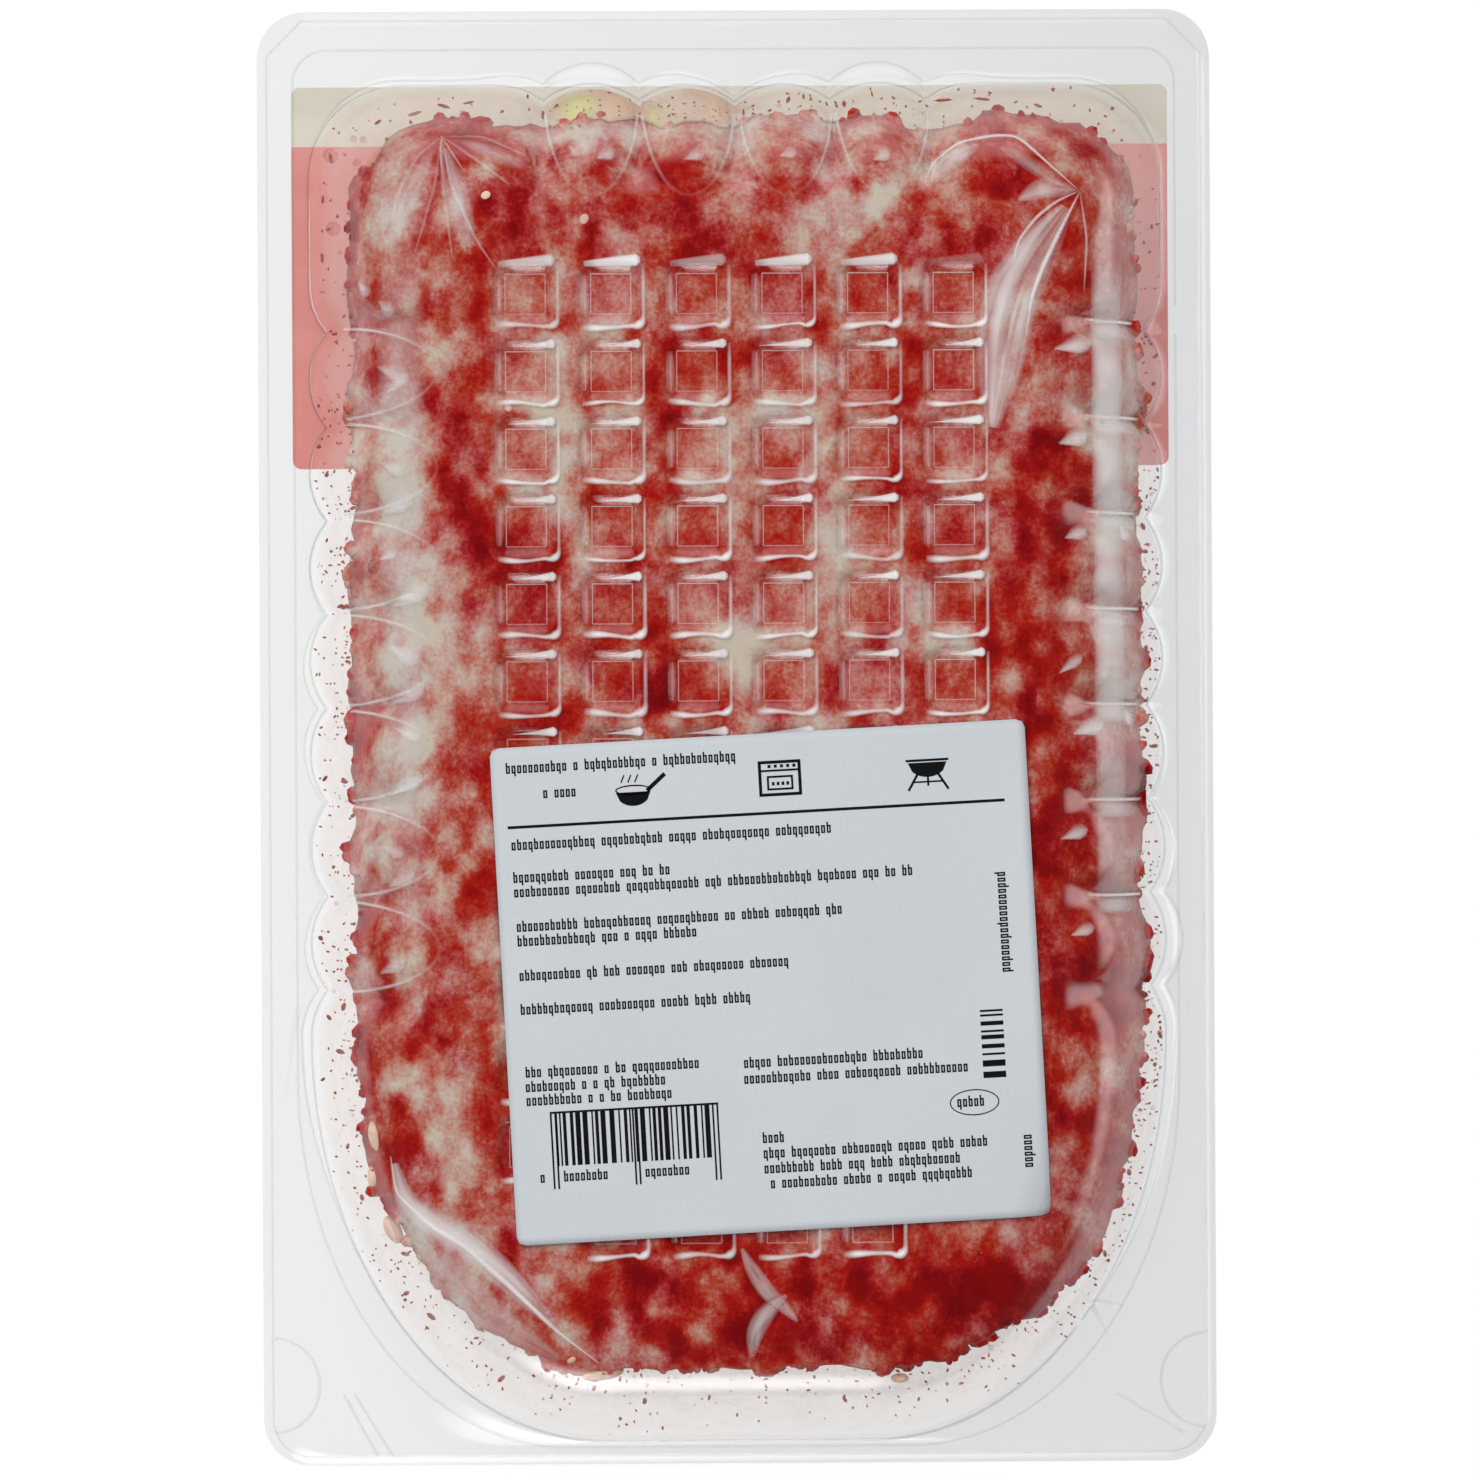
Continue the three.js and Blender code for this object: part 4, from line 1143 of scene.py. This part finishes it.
def veil():
    """A closed thin sheet just inside the wall, from the meat's edge to near the mouth, and its strength:
    1 at the meat, falling evenly to 0."""
    shares = np.linspace(0, 1, 9)
    start = angle_at_reach(meat_reach() - VEIL_OVERLAP, WALL)
    faces_out, faces_in = [], []
    for inset, rings in ((WALL + VEIL_GAP, faces_out), (WALL + 2 * VEIL_GAP, faces_in)):
        for share in shares:
            rings.append(wall_points(start * (1 - share) + VEIL_END * share, inset))
    rings = faces_out + faces_in[::-1]
    count = len(stations)
    points = np.concatenate(rings)
    strength = np.repeat(np.concatenate([1 - shares, 1 - shares[::-1]]), count)
    loops = [i * count + np.arange(count) for i in range(len(rings))]
    return points, np.concatenate(bands(loops + loops[:1])), strength


# Coloured smears on the wall: x, y, radius, and whether it is peach rather than yellow-green.
SMEARS = np.array([(-22.6, 91.4, 4.2, 0), (-17.4, 93.0, 4.8, 1), (-10.8, 91.0, 3.0, 0), (-4.8, 93.0, 5.6, 1)])


def greasy_veil():
    """Grease that covers by clouds, fine dots and its own falling strength, and fully in the coloured
    smears, mixed over a cream tint that fades out with the strength."""
    finish = Finish("greasy_veil")
    cloud = finish.noise(6.0, 3.0, 0.65)
    dots = finish.noise(0.9, 2.0, 0.7)
    strength = finish.attribute("veil_strength")
    cover = strength * (0.09 * (cloud + 0.35 * dots).step(0.5, 0.95) + 0.04)
    smear = finish.attribute("smear")
    tone = finish.mix(finish.attribute("peach"), srgb(238, 232, 140), srgb(252, 208, 172))
    colour = finish.mix(smear.clamped(), srgb(240, 190, 172), tone)
    grease = finish.node("ShaderNodeBsdfPrincipled", {}, {"Base Color": colour, "Roughness": 0.6})
    clear = finish.node("ShaderNodeBsdfTransparent", {}, {"Color": (1, 1, 1, 1)})
    creamy = finish.node("ShaderNodeBsdfTransparent", {}, {"Color": (0.978, 0.963, 0.953, 1)})
    film = finish.mix_shader((1.8 * strength).clamped(), clear, creamy)
    return finish.done(finish.mix_shader((cover + 0.85 * smear).clamped(), film, grease))


veil_points, veil_faces, veil_strength = veil()
veil_piece = make_mesh("grease_veil", veil_points, veil_faces, greasy_veil())
spread = np.linalg.norm(veil_points[:, None, :2] - SMEARS[:, :2], axis=2) / SMEARS[:, 2]
patchy = np.clip(1 + 0.8 * value_noise(veil_points[:, 0], veil_points[:, 1], 2.5, 31), 0, 1)
smear = np.exp(-spread ** 3) * patchy[:, None]
give_field(veil_piece, "veil_strength", veil_strength)
give_field(veil_piece, "smear", smear.max(1))
give_field(veil_piece, "peach", SMEARS[smear.argmax(1), 3])
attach(veil_piece, "root")


def lumps(places, sizes, turns, rows=6, columns=10):
    """Closed ellipsoids: points of a sphere, scaled along three axes, turned about z and moved to places."""
    down = np.linspace(0, np.pi, rows + 1)[1:-1]
    round_angle = np.linspace(0, 2 * np.pi, columns, endpoint=False)
    ball = np.stack([np.outer(np.sin(down), np.cos(round_angle)), np.outer(np.sin(down), np.sin(round_angle)),
                     np.repeat(np.cos(down)[:, None], columns, 1)], -1).reshape(-1, 3)
    ball = np.concatenate([ball, [[0, 0, 1], [0, 0, -1]]])
    index = np.arange((rows - 1) * columns).reshape(rows - 1, columns)
    after = np.roll(index, -1, 1)
    a, b, c, d = index[:-1].ravel(), index[1:].ravel(), after[1:].ravel(), after[:-1].ravel()
    top, bottom = len(ball) - 2, len(ball) - 1
    faces = np.concatenate([
        np.stack([a, b, c], -1), np.stack([a, c, d], -1),
        np.stack([np.full(columns, top), index[0], after[0]], -1),
        np.stack([np.full(columns, bottom), after[-1], index[-1]], -1)])
    places, sizes = np.atleast_2d(places), np.atleast_2d(sizes)
    scaled = ball[None] * sizes[:, None]
    cos, sin = np.cos(turns)[:, None], np.sin(turns)[:, None]
    points = np.stack([scaled[..., 0] * cos - scaled[..., 1] * sin,
                       scaled[..., 0] * sin + scaled[..., 1] * cos, scaled[..., 2]], -1) + places[:, None]
    faces = faces[None] + len(ball) * np.arange(len(places))[:, None, None]
    return points.reshape(-1, 3), faces.reshape(-1, 3)


LOWEST_SPOT = 6


def well_up(place):
    """Whether the wall's inner face stands well above the rim at each place."""
    return tray_height(*place.T, inner_table, WALL) > LOWEST_SPOT


def scattered(count, seed, spread_share):
    """Places on the inner face of the wall outside the meat, denser towards the meat's edge, and the random
    generator to go on with."""
    choose = np.random.default_rng(seed)
    station = choose.integers(0, len(stations), count)
    start = meat_reach()[station]
    share = start - 0.02 + np.abs(choose.normal(0, spread_share, count))
    share = np.where(share > 0.97, start + choose.uniform(0, 1, count) * (0.95 - start), share)
    place = foot[station] + outward[station] * (reach[station] * share)[:, None]
    return choose, place[well_up(place)]


def plain_finish(name, colour, roughness, gloss):
    """One colour, darkened by a fifth in soft spots."""
    finish = Finish(name)
    darker = tuple(0.8 * part for part in colour[:3]) + (1,)
    tone = finish.mix(finish.noise(1.5, 2.0).step(0.35, 0.65), darker, colour)
    skin = finish.node("ShaderNodeBsdfPrincipled", {}, {"Base Color": tone, "Roughness": roughness,
                                                        "Specular IOR Level": gloss})
    return finish.done(skin)


# Longer streaks of dried juice on the wall: x, y, half length, half width, turn.
STREAKS = np.array([
    (-47.0, 91.2, 1.3, 0.32, 0.3), (-42.8, 92.4, 1.2, 0.3, -0.3), (-39.2, 93.0, 1.0, 0.22, 0.2),
    (-52.4, 90.0, 0.7, 0.3, 0.6), (-59.4, 85.0, 1.0, 0.32, 1.8), (-60.6, 79.0, 0.8, 0.26, 1.5),
    (-60.8, 70.5, 0.9, 0.28, 1.6), (-59.8, 74.6, 0.5, 0.3, 0.4), (30.5, 93.4, 1.6, 0.28, 0.05),
    (36.0, 93.2, 1.4, 0.26, -0.1), (44.0, 92.0, 0.8, 0.24, -0.3), (-26.5, 92.6, 0.5, 0.2, 1.0),
])


def flecks():
    """Flat grains against the wall, longer than wide, and the streaks."""
    choose, place = scattered(1300, 51, 0.22)
    count = len(place)
    size = choose.uniform(0.09, 0.22, count) * (1 + (choose.uniform(0, 1, count) > 0.93))
    sizes = np.column_stack([size * choose.uniform(0.8, 2.2, count), size, size * 0.7])
    turns = np.concatenate([choose.uniform(0, np.pi, count), STREAKS[:, 4]])
    place = np.concatenate([place, STREAKS[:, :2]])
    sizes = np.concatenate([sizes, np.column_stack([STREAKS[:, 2:4], 0.8 * STREAKS[:, 3]])])
    height = tray_height(*place.T, inner_table, WALL) - sizes[:, 1]
    return lumps(np.column_stack([place, height]), sizes, turns, 3, 6)


fleck_piece = make_mesh("juice_flecks", *flecks(), plain_finish("juice_flecks", srgb(176, 84, 62), 0.4, 0.4))
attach(fleck_piece, "root")


def clear_juice():
    """Pinkish clear drops: see-through in the middle, dark red where seen edge on, and glossy."""
    finish = Finish("clear_juice")
    edge = finish.node("ShaderNodeLayerWeight", {}, {"Blend": 0.5}, "Facing")
    through = finish.node("ShaderNodeBsdfTransparent", {}, {"Color": (0.97, 0.9, 0.88, 1)})
    juice = finish.node("ShaderNodeBsdfPrincipled", {}, {"Base Color": srgb(132, 40, 36), "Roughness": 0.12,
                                                         "Specular IOR Level": 0.9})
    return finish.done(finish.mix_shader((0.7 * edge ** 3.5 + 0.04).clamped(), through, juice))


# Places of the largest drops.
LARGE_DROPS = np.array([(-59.5, 85.5), (-59, 74.5), (-56.5, 66), (-55.8, 26), (-54.8, 23.5), (-56, 21.5),
                        (-53, 25)])


def drops():
    """Flattened drops: small ones anywhere on the wall, middling ones at its upper left, and large ones."""
    choose, place = scattered(60, 52, 0.2)
    small, large = len(place), len(LARGE_DROPS)
    left = np.column_stack([choose.uniform(-58, -54, 7), choose.uniform(62, 90, 7)])
    place = np.concatenate([place, left, LARGE_DROPS])
    size = np.concatenate([choose.uniform(0.15, 0.42, small), choose.uniform(0.3, 0.6, len(left)),
                           choose.uniform(0.8, 1.2, large)])
    kept = well_up(place)
    place, size = place[kept], size[kept]
    height = tray_height(*place.T, inner_table, WALL) - 0.5 * size
    sizes = np.column_stack([size, size * choose.uniform(0.8, 1.2, len(size)), size * 0.6])
    return lumps(np.column_stack([place, height]), sizes, choose.uniform(0, np.pi, len(size)), 6, 12)


drop_piece = make_mesh("juice_drops", *drops(), clear_juice())
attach(drop_piece, "root")


# Fat lumps and loose crumbs
# Peach lumps of fat at the meat's lower edge, three small pale pellets under the base, and
# crumbs of mince that broke off along the edge.
# Lumps against the wall: x, y, half width, half length, turn.
LUMPS = np.array([
    (-53.4, -57.6, 1.1, 2.3, 0.15), (-53.8, -63.5, 0.9, 1.8, -0.1), (-51.0, -71.4, 1.2, 2.2, 0.5),
    (-20.6, -92.2, 3.1, 1.0, 0.15), (22.5, -93.2, 1.3, 0.7, 0.0), (-25.0, -90.0, 1.0, 0.6, 0.6),
])


# Pellets under the base: x, y, half width, half length, turn.
PELLETS = np.array([(-36.6, 78.6, 0.75, 0.6, 0.4), (-22.4, 75.1, 0.8, 0.65, 1.0),
                    (-33.5, 47.8, 0.6, 0.6, 0.0)])


def fat_lumps():
    """The lumps against the wall and the pellets under the base, as flattened ellipsoids."""
    x, y, half_x, half_y, turns = LUMPS.T
    height = tray_height(x, y, inner_table, WALL) - 0.9
    pellet_height = np.full(len(PELLETS), PACK_HEIGHT - WALL - 0.32)
    places = np.concatenate([np.column_stack([x, y, height]),
                             np.column_stack([PELLETS[:, :2], pellet_height])])
    sizes = np.concatenate([np.column_stack([half_x, half_y, np.full(len(x), 0.8)]),
                            np.column_stack([PELLETS[:, 2:4], np.full(len(PELLETS), 0.28)])])
    return lumps(places, sizes, np.concatenate([turns, PELLETS[:, 4]]), 10, 16)


lump_piece = make_mesh("fat_lumps", *fat_lumps(), plain_finish("fat", srgb(252, 214, 192), 0.35, 0.5))
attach(lump_piece, "root")


def crumbs():
    """Ellipsoids of uneven size along the meat's edge, against the wall."""
    choose, place = scattered(300, 53, 0.006)
    size = choose.uniform(0.35, 1.2, len(place))
    height = tray_height(*place.T, inner_table, WALL) - 0.9 * size - 0.1
    sizes = np.column_stack([size * choose.uniform(0.8, 1.8, len(size)), size, size * 0.8])
    return lumps(np.column_stack([place, height]), sizes, choose.uniform(0, np.pi, len(size)), 5, 8)


crumb_points, crumb_faces = crumbs()
crumb_piece = make_mesh("mince_crumbs", crumb_points, crumb_faces, meat_piece.data.materials[0])
give_field(crumb_piece, "fat_share", fat_share(crumb_points) - 0.05)
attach(crumb_piece, "root")


# Label
# A sheet of smooth white paper with rounded corners, stuck on the base a little askew; it bridges the
# recesses and bends down over the edge of the base.
LABEL_WIDTH = 77.5
LABEL_LENGTH = 72.0
LABEL_PLACE = np.array([4.0, -35.5])
LABEL_TURN = math.radians(2.9)
LABEL_LEVEL = PACK_HEIGHT + 0.32
LABEL_THICKNESS = 0.12
LABEL_CORNER = 1.2


def on_label(x, y):
    """Label coordinates, from its middle, as places on the pack."""
    cos, sin = math.cos(LABEL_TURN), math.sin(LABEL_TURN)
    return LABEL_PLACE[0] + cos * x - sin * y, LABEL_PLACE[1] + sin * x + cos * y


def fall_past_foot(x, y):
    """How far the wall has dropped at x, y: the core's superellipse on the distance outside the foot."""
    gap = np.stack([x, y], -1).reshape(-1, 1, 2) - foot
    nearest = np.linalg.norm(gap, axis=2).argmin(1)
    rows = np.arange(len(nearest))
    past = np.clip((gap[rows, nearest] * outward[nearest]).sum(1), 0, 15)
    share = past / (CORE["reach"] * reach[nearest])
    drop = DEPTH * (1 - (1 - share ** CORE["power"]) ** (1 / CORE["power"]))
    return drop.reshape(x.shape)


def label_surface(x, y, lift):
    """Points of the label's face, lifted by an amount, at label coordinates."""
    px, py = on_label(x, y)
    return np.stack([px, py, LABEL_LEVEL + lift - fall_past_foot(px, py)], -1)


def label_sheet():
    """A grid over the label, its corners rounded by drawing the border in, with a thin edge."""
    u = np.linspace(-1, 1, 61)
    x, y = np.meshgrid(u * LABEL_WIDTH / 2, u * LABEL_LENGTH / 2)
    near_x = np.clip(np.abs(x) - (LABEL_WIDTH / 2 - LABEL_CORNER), 0, None)
    near_y = np.clip(np.abs(y) - (LABEL_LENGTH / 2 - LABEL_CORNER), 0, None)
    far = np.maximum(near_x, near_y)
    scale = np.where(far > 0, far / np.maximum(np.hypot(near_x, near_y), 1e-9), 1)
    x = np.sign(x) * (np.abs(x) - near_x * (1 - scale))
    y = np.sign(y) * (np.abs(y) - near_y * (1 - scale))
    top = label_surface(x, y, LABEL_THICKNESS)
    bottom = label_surface(x, y, 0)
    loop = border(*top.shape[:2])
    middle = (top.reshape(-1, 3)[loop] + bottom.reshape(-1, 3)[loop]) / 2
    return shell(top, [middle], bottom)


def label_paper():
    """Smooth paper in two close tones of cool white, with a fine fibre relief."""
    finish = Finish("label_paper")
    fibre = finish.noise(0.5, 3.0)
    cloud = finish.noise(22, 2.0)
    tone = finish.mix((0.5 * fibre + 0.5 * cloud).step(0.3, 0.7), srgb(212, 217, 223), srgb(219, 224, 229))
    paper = finish.node("ShaderNodeBsdfPrincipled", {}, {
        "Base Color": tone, "Roughness": 0.55, "Normal": finish.bump(fibre, 0.02), "Specular IOR Level": 0.3})
    return finish.done(paper)


label_piece = make_mesh("base_label_sheet", *label_sheet(), label_paper())
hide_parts("base_label")
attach(label_piece, "root")


# Label print
# Black thermal print on the label: rows of small blocks where a label has its words, simple signs for
# a pan, an oven and a grill, a rule, an oval, and bars. All of it is thin ink on the paper.
INK_LIFT = LABEL_THICKNESS + 0.012
INK_THICKNESS = 0.035
LETTER_PITCH = 0.815
LETTER_WIDTH = 0.6
LETTER_HEIGHT = 1.15
STROKE = 0.235

# Rows of words: distance from the label's left and top edges to the row's middle, and each word's length.
WORD_ROWS = [
    (2.2, 3.2, (11, 1, 11, 1, 13)), (7.4, 7.0, (1, 4)),
    (2.4, 14.3, (15, 11, 5, 12, 10)), (2.4, 19.0, (10, 7, 3, 2, 2)),
    (2.4, 21.1, (10, 8, 13, 3, 15, 7, 3, 2, 2)),
    (2.5, 26.1, (11, 12, 11, 2, 5, 8, 3)), (2.5, 28.2, (14, 3, 1, 4, 6)),
    (2.5, 33.2, (11, 2, 3, 7, 3, 9, 7)), (2.4, 38.1, (13, 10, 5, 4, 5)),
    (2.6, 47.2, (3, 9, 1, 2, 12)), (2.5, 49.3, (9, 1, 1, 2, 8)), (2.5, 51.3, (10, 1, 1, 2, 8)),
    (34.2, 47.6, (5, 16, 9)), (34.1, 49.9, (12, 4, 10, 11)),
    (36.3, 58.6, (4,)), (36.3, 60.8, (4, 8, 9, 5, 4, 5)), (36.3, 63.0, (9, 4, 3, 4, 11)),
    (37.1, 65.2, (1, 10, 5, 1, 5, 9)),
]


def block(left, top, width, height):
    """Corners of an upright rectangle, by its distances from the label's left and top edges."""
    return [(left, top + height), (left + width, top + height), (left + width, top), (left, top)]


def letter(left, middle, stem):
    """A small hollow block, with a stem above it or below it where stem is 1 or -1."""
    top = middle - LETTER_HEIGHT / 2
    parts = [block(left, top, STROKE, LETTER_HEIGHT),
             block(left + LETTER_WIDTH - STROKE, top, STROKE, LETTER_HEIGHT),
             block(left + STROKE, top, LETTER_WIDTH - 2 * STROKE, STROKE),
             block(left + STROKE, top + LETTER_HEIGHT - STROKE, LETTER_WIDTH - 2 * STROKE, STROKE)]
    if stem > 0:
        parts.append(block(left, top - 0.45, STROKE, 0.45))
    if stem < 0:
        parts.append(block(left + LETTER_WIDTH - STROKE, top + LETTER_HEIGHT, STROKE, 0.4))
    return parts


def words(left, middle, lengths, choose):
    """Blocks for a row of words, with one letter's space between words."""
    parts = []
    for length in lengths:
        for _ in range(length):
            stem = choose.choice([0, 0, 1, 1, 0, -1]) if length > 1 else 0
            parts += letter(left, middle, stem)
            left += LETTER_PITCH
        left += LETTER_PITCH
    return parts


def bars(left, top, width, height, module, choose):
    """Upright bars of one to three modules with gaps of one or two, over a width."""
    parts, place = [], left
    while place < left + width - 3 * module:
        bar = module * choose.choice([1, 1, 2, 3])
        parts.append(block(place, top, bar * 0.93, height))
        place += bar + module * choose.choice([1, 1, 2, 2])
    return parts


def ring(centre_x, centre_y, half_x, half_y, line, count=36):
    """A thin elliptical line, as short pieces."""
    angle = 2 * np.pi * np.linspace(0, 1, count + 1)
    outer = np.column_stack([centre_x + half_x * np.cos(angle), centre_y + half_y * np.sin(angle)])
    inner = np.column_stack([centre_x + (half_x - line) * np.cos(angle),
                             centre_y + (half_y - line) * np.sin(angle)])
    return [[tuple(inner[i]), tuple(outer[i]), tuple(outer[i + 1]), tuple(inner[i + 1])]
            for i in range(count)]


def bowl(centre_x, top, half, depth, count=10):
    """Half a disc with its flat side up, as upright slices."""
    edges = np.linspace(-1, 1, count + 1)
    x = centre_x + half * edges
    low = top + depth * np.sqrt(1 - edges ** 2) + 0.02
    return [[(x[i], low[i]), (x[i + 1], low[i + 1]), (x[i + 1], top), (x[i], top)] for i in range(count)]


def stroke(start, end, width):
    """A straight line of a given width."""
    start, end = np.array(start, float), np.array(end, float)
    side = np.array([-(end - start)[1], (end - start)[0]]) / np.linalg.norm(end - start) * width / 2
    return [tuple(start + side), tuple(end + side), tuple(end - side), tuple(start - side)]


def upwards(parts, start):
    """Parts mirrored over the slanting line through a row's start, so that the row runs upwards."""
    x0, y0 = start
    return [[(x0 - (y - y0), y0 - (x - x0)) for x, y in part] for part in parts]


def pan():
    """A pan with its rim, its handle and three wisps of steam."""
    return (bowl(20.4, 7.4, 2.5, 2.0) + ring(20.4, 7.1, 2.6, 0.75, 0.22)
            + [stroke((22.4, 7.3), (25.1, 5.0), 0.6)]
            + [stroke((18.7 + i, 6.0), (19.2 + i, 4.9), 0.2) for i in range(3)])


# The oven's frame, the line under its knobs and the frame of its window: left, top, width, height.
OVEN_LINES = [
    (38.6, 4.0, 6.2, 0.45), (38.6, 8.7, 6.2, 0.45), (38.6, 4.45, 0.45, 4.25), (44.35, 4.45, 0.45, 4.25),
    (39.05, 5.3, 5.3, 0.3), (39.8, 6.2, 3.8, 0.3), (39.8, 6.5, 0.3, 1.5), (43.3, 6.5, 0.3, 1.5),
    (39.8, 8.0, 3.8, 0.3),
]


def oven():
    """An oven with five knobs and four small pieces in its window."""
    return ([block(*line) for line in OVEN_LINES] + [block(40 + 0.9 * i, 4.6, 0.45, 0.45) for i in range(5)]
            + [block(40.5 + 0.7 * i, 7.1, 0.4, 0.5) for i in range(4)])


def grill():
    """A round grill on three legs, with a bar across them."""
    return (bowl(63.1, 5.5, 2.8, 2.1) + [block(60.0, 5.0, 6.2, 0.35)]
            + [stroke((61.6, 7.2), (60.2, 9.5), 0.35), stroke((64.6, 7.2), (66.0, 9.5), 0.35),
               stroke((63.1, 7.5), (63.1, 8.9), 0.3), stroke((60.9, 8.3), (65.3, 8.3), 0.25)])


def main_bars(choose):
    """Bars with a line over them, longer bars at their ends and middle, and blocks under them."""
    left, top, width, module = 5.75, 53.2, 24.4, 0.26
    parts = [block(left, top - 0.3, width, 0.3)] + bars(left, top, width, 7.6, module, choose)
    parts += [block(x, top, module, 10.9) for x in (left, 6.4, 17.6, 18.2, 29.2, 29.85)]
    for start, length in ((3.9, 1), (7.3, 8), (19.1, 8)):
        parts += words(start, 62.5, (length,), choose)
    return parts


def label_print():
    """Every mark of the label, as four-cornered pieces."""
    choose = np.random.default_rng(41)
    parts = []
    for left, middle, lengths in WORD_ROWS:
        parts += words(left, middle, lengths, choose)
    parts.append(block(2.0, 11.35, 72.0, 0.42))
    parts += pan() + oven() + grill()
    parts += ring(67.2, 55.0, 3.6, 1.9, 0.17) + words(64.7, 55.0, (5,), choose)
    parts += main_bars(choose)
    parts += upwards(words(72.9, 36.4, (18,), choose), (72.9, 36.4))
    parts += upwards(bars(72.0, 51.6, 11.0, 3.3, 0.33, choose), (72.0, 51.6))
    parts += upwards(words(74.6, 64.8, (6,), choose), (74.6, 64.8))
    return np.array(parts)


def raised(parts, low, high):
    """Closed thin pieces over the label's face; corners are distances from its left and top edges."""
    x = parts[..., 0] - LABEL_WIDTH / 2
    y = LABEL_LENGTH / 2 - parts[..., 1]
    points = np.concatenate([label_surface(x, y, low), label_surface(x, y, high)], 1)
    sides = [[i, (i + 1) % 4, 4 + (i + 1) % 4, 4 + i] for i in range(4)]
    faces = np.array([[0, 3, 2, 1], [4, 5, 6, 7]] + sides)
    flip = np.cross(points[:, 1] - points[:, 0], points[:, 3] - points[:, 0])[:, 2] < 0
    points[flip] = points[flip][:, [3, 2, 1, 0, 7, 6, 5, 4]]
    return points.reshape(-1, 3), (faces + 8 * np.arange(len(parts))[:, None, None]).reshape(-1, 4)


def thermal_ink():
    """Plain matt black."""
    finish = Finish("thermal_ink")
    ink = finish.node("ShaderNodeBsdfPrincipled", {}, {"Base Color": srgb(16, 16, 20), "Roughness": 0.5})
    return finish.done(ink)


ink_points, ink_faces = raised(label_print(), INK_LIFT, INK_LIFT + INK_THICKNESS)
ink_piece = make_mesh("label_ink", ink_points, ink_faces, thermal_ink(), smooth=False)
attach(ink_piece, "root")


# Floor and light
# A plain white table that glows a little, a large soft light above it, softboxes near, far and on the
# right that show only in the gloss, and a faint white room.
floor_finish = Finish("white_table")
floor_shader = floor_finish.node("ShaderNodeBsdfPrincipled", {}, {
    "Base Color": (0.15, 0.15, 0.15, 1), "Roughness": 0.8, "Specular IOR Level": 0.0,
    "Emission Color": (1, 1, 1, 1), "Emission Strength": 0.9})
floor_finish.material.cycles.emission_sampling = "NONE"
FLOOR_HALF = 4000
FLOOR_LEVEL = -0.1
floor_corners = [(-FLOOR_HALF, -FLOOR_HALF, FLOOR_LEVEL), (FLOOR_HALF, -FLOOR_HALF, FLOOR_LEVEL),
                 (FLOOR_HALF, FLOOR_HALF, FLOOR_LEVEL), (-FLOOR_HALF, FLOOR_HALF, FLOOR_LEVEL)]
floor = make_mesh("white_floor", floor_corners, [[0, 1, 2, 3]], floor_finish.done(floor_shader))

world = bpy.data.worlds.new("white_room")
world.use_nodes = True
room = world.node_tree.nodes["Background"]
room.inputs["Color"].default_value = (1, 1, 1, 1)
room.inputs["Strength"].default_value = 0.04
world.cycles.sampling_method = "NONE"
bpy.context.scene.world = world


def ceiling(name, place, size, radiance):
    """A large soft light that leaves no highlight in the gloss."""
    data = bpy.data.lights.new(name, "AREA")
    data.shape = "SQUARE"
    data.size = size
    data.energy = radiance * math.pi * size ** 2
    light = bpy.data.objects.new(name, data)
    light.location = place
    light.rotation_euler = (-Vector(place)).to_track_quat("-Z", "Y").to_euler()
    light.visible_glossy = False
    bpy.context.collection.objects.link(light)


def softbox(name, place, width, height, radiance):
    """A panel that only shows in the gloss: brightest in its middle and fading to nothing at its edges."""
    finish = Finish(name)
    place_on_panel = finish.stretched(2 / width, 2 / height, 1)
    spread = finish.node("ShaderNodeVectorMath", {"operation": "LENGTH"}, {0: place_on_panel}, "Value")
    glow = finish.mix(spread.step(0.95, 0.35), (0, 0, 0, 1), (1, 1, 1, 1))
    emission = finish.node("ShaderNodeEmission", {}, {"Color": glow, "Strength": radiance})
    finish.done(emission)
    finish.material.cycles.emission_sampling = "NONE"
    corners = np.array([(-1, -1, 0), (1, -1, 0), (1, 1, 0), (-1, 1, 0)]) * (width / 2, height / 2, 0)
    panel = make_mesh(name, corners * MM_A_METRE, [[0, 1, 2, 3]], finish.material)
    panel.location = place
    panel.rotation_euler = Vector(place).to_track_quat("Z", "Y").to_euler()
    for kind in ("camera", "diffuse", "transmission", "volume_scatter", "shadow"):
        setattr(panel, "visible_" + kind, False)


ceiling("ceiling", (-0.3, 0.4, 1.7), 1.6, 4.15)
softbox("light_near", (-0.2, -1.0, 0.36), 1.0, 0.7, 5.0)
softbox("soft_right", (1.0, 0.1, 0.2), 1.8, 0.6, 2.6)
softbox("soft_far", (0.0, 1.0, 0.3), 1.8, 0.8, 1.2)

scene = bpy.context.scene
scene.view_settings.view_transform = "Standard"
scene.cycles.transparent_max_bounces = 16
scene.cycles.max_bounces = 4
scene.cycles.diffuse_bounces = 1
scene.cycles.glossy_bounces = 2
scene.cycles.use_denoising = True

bpy.context.view_layer.update()
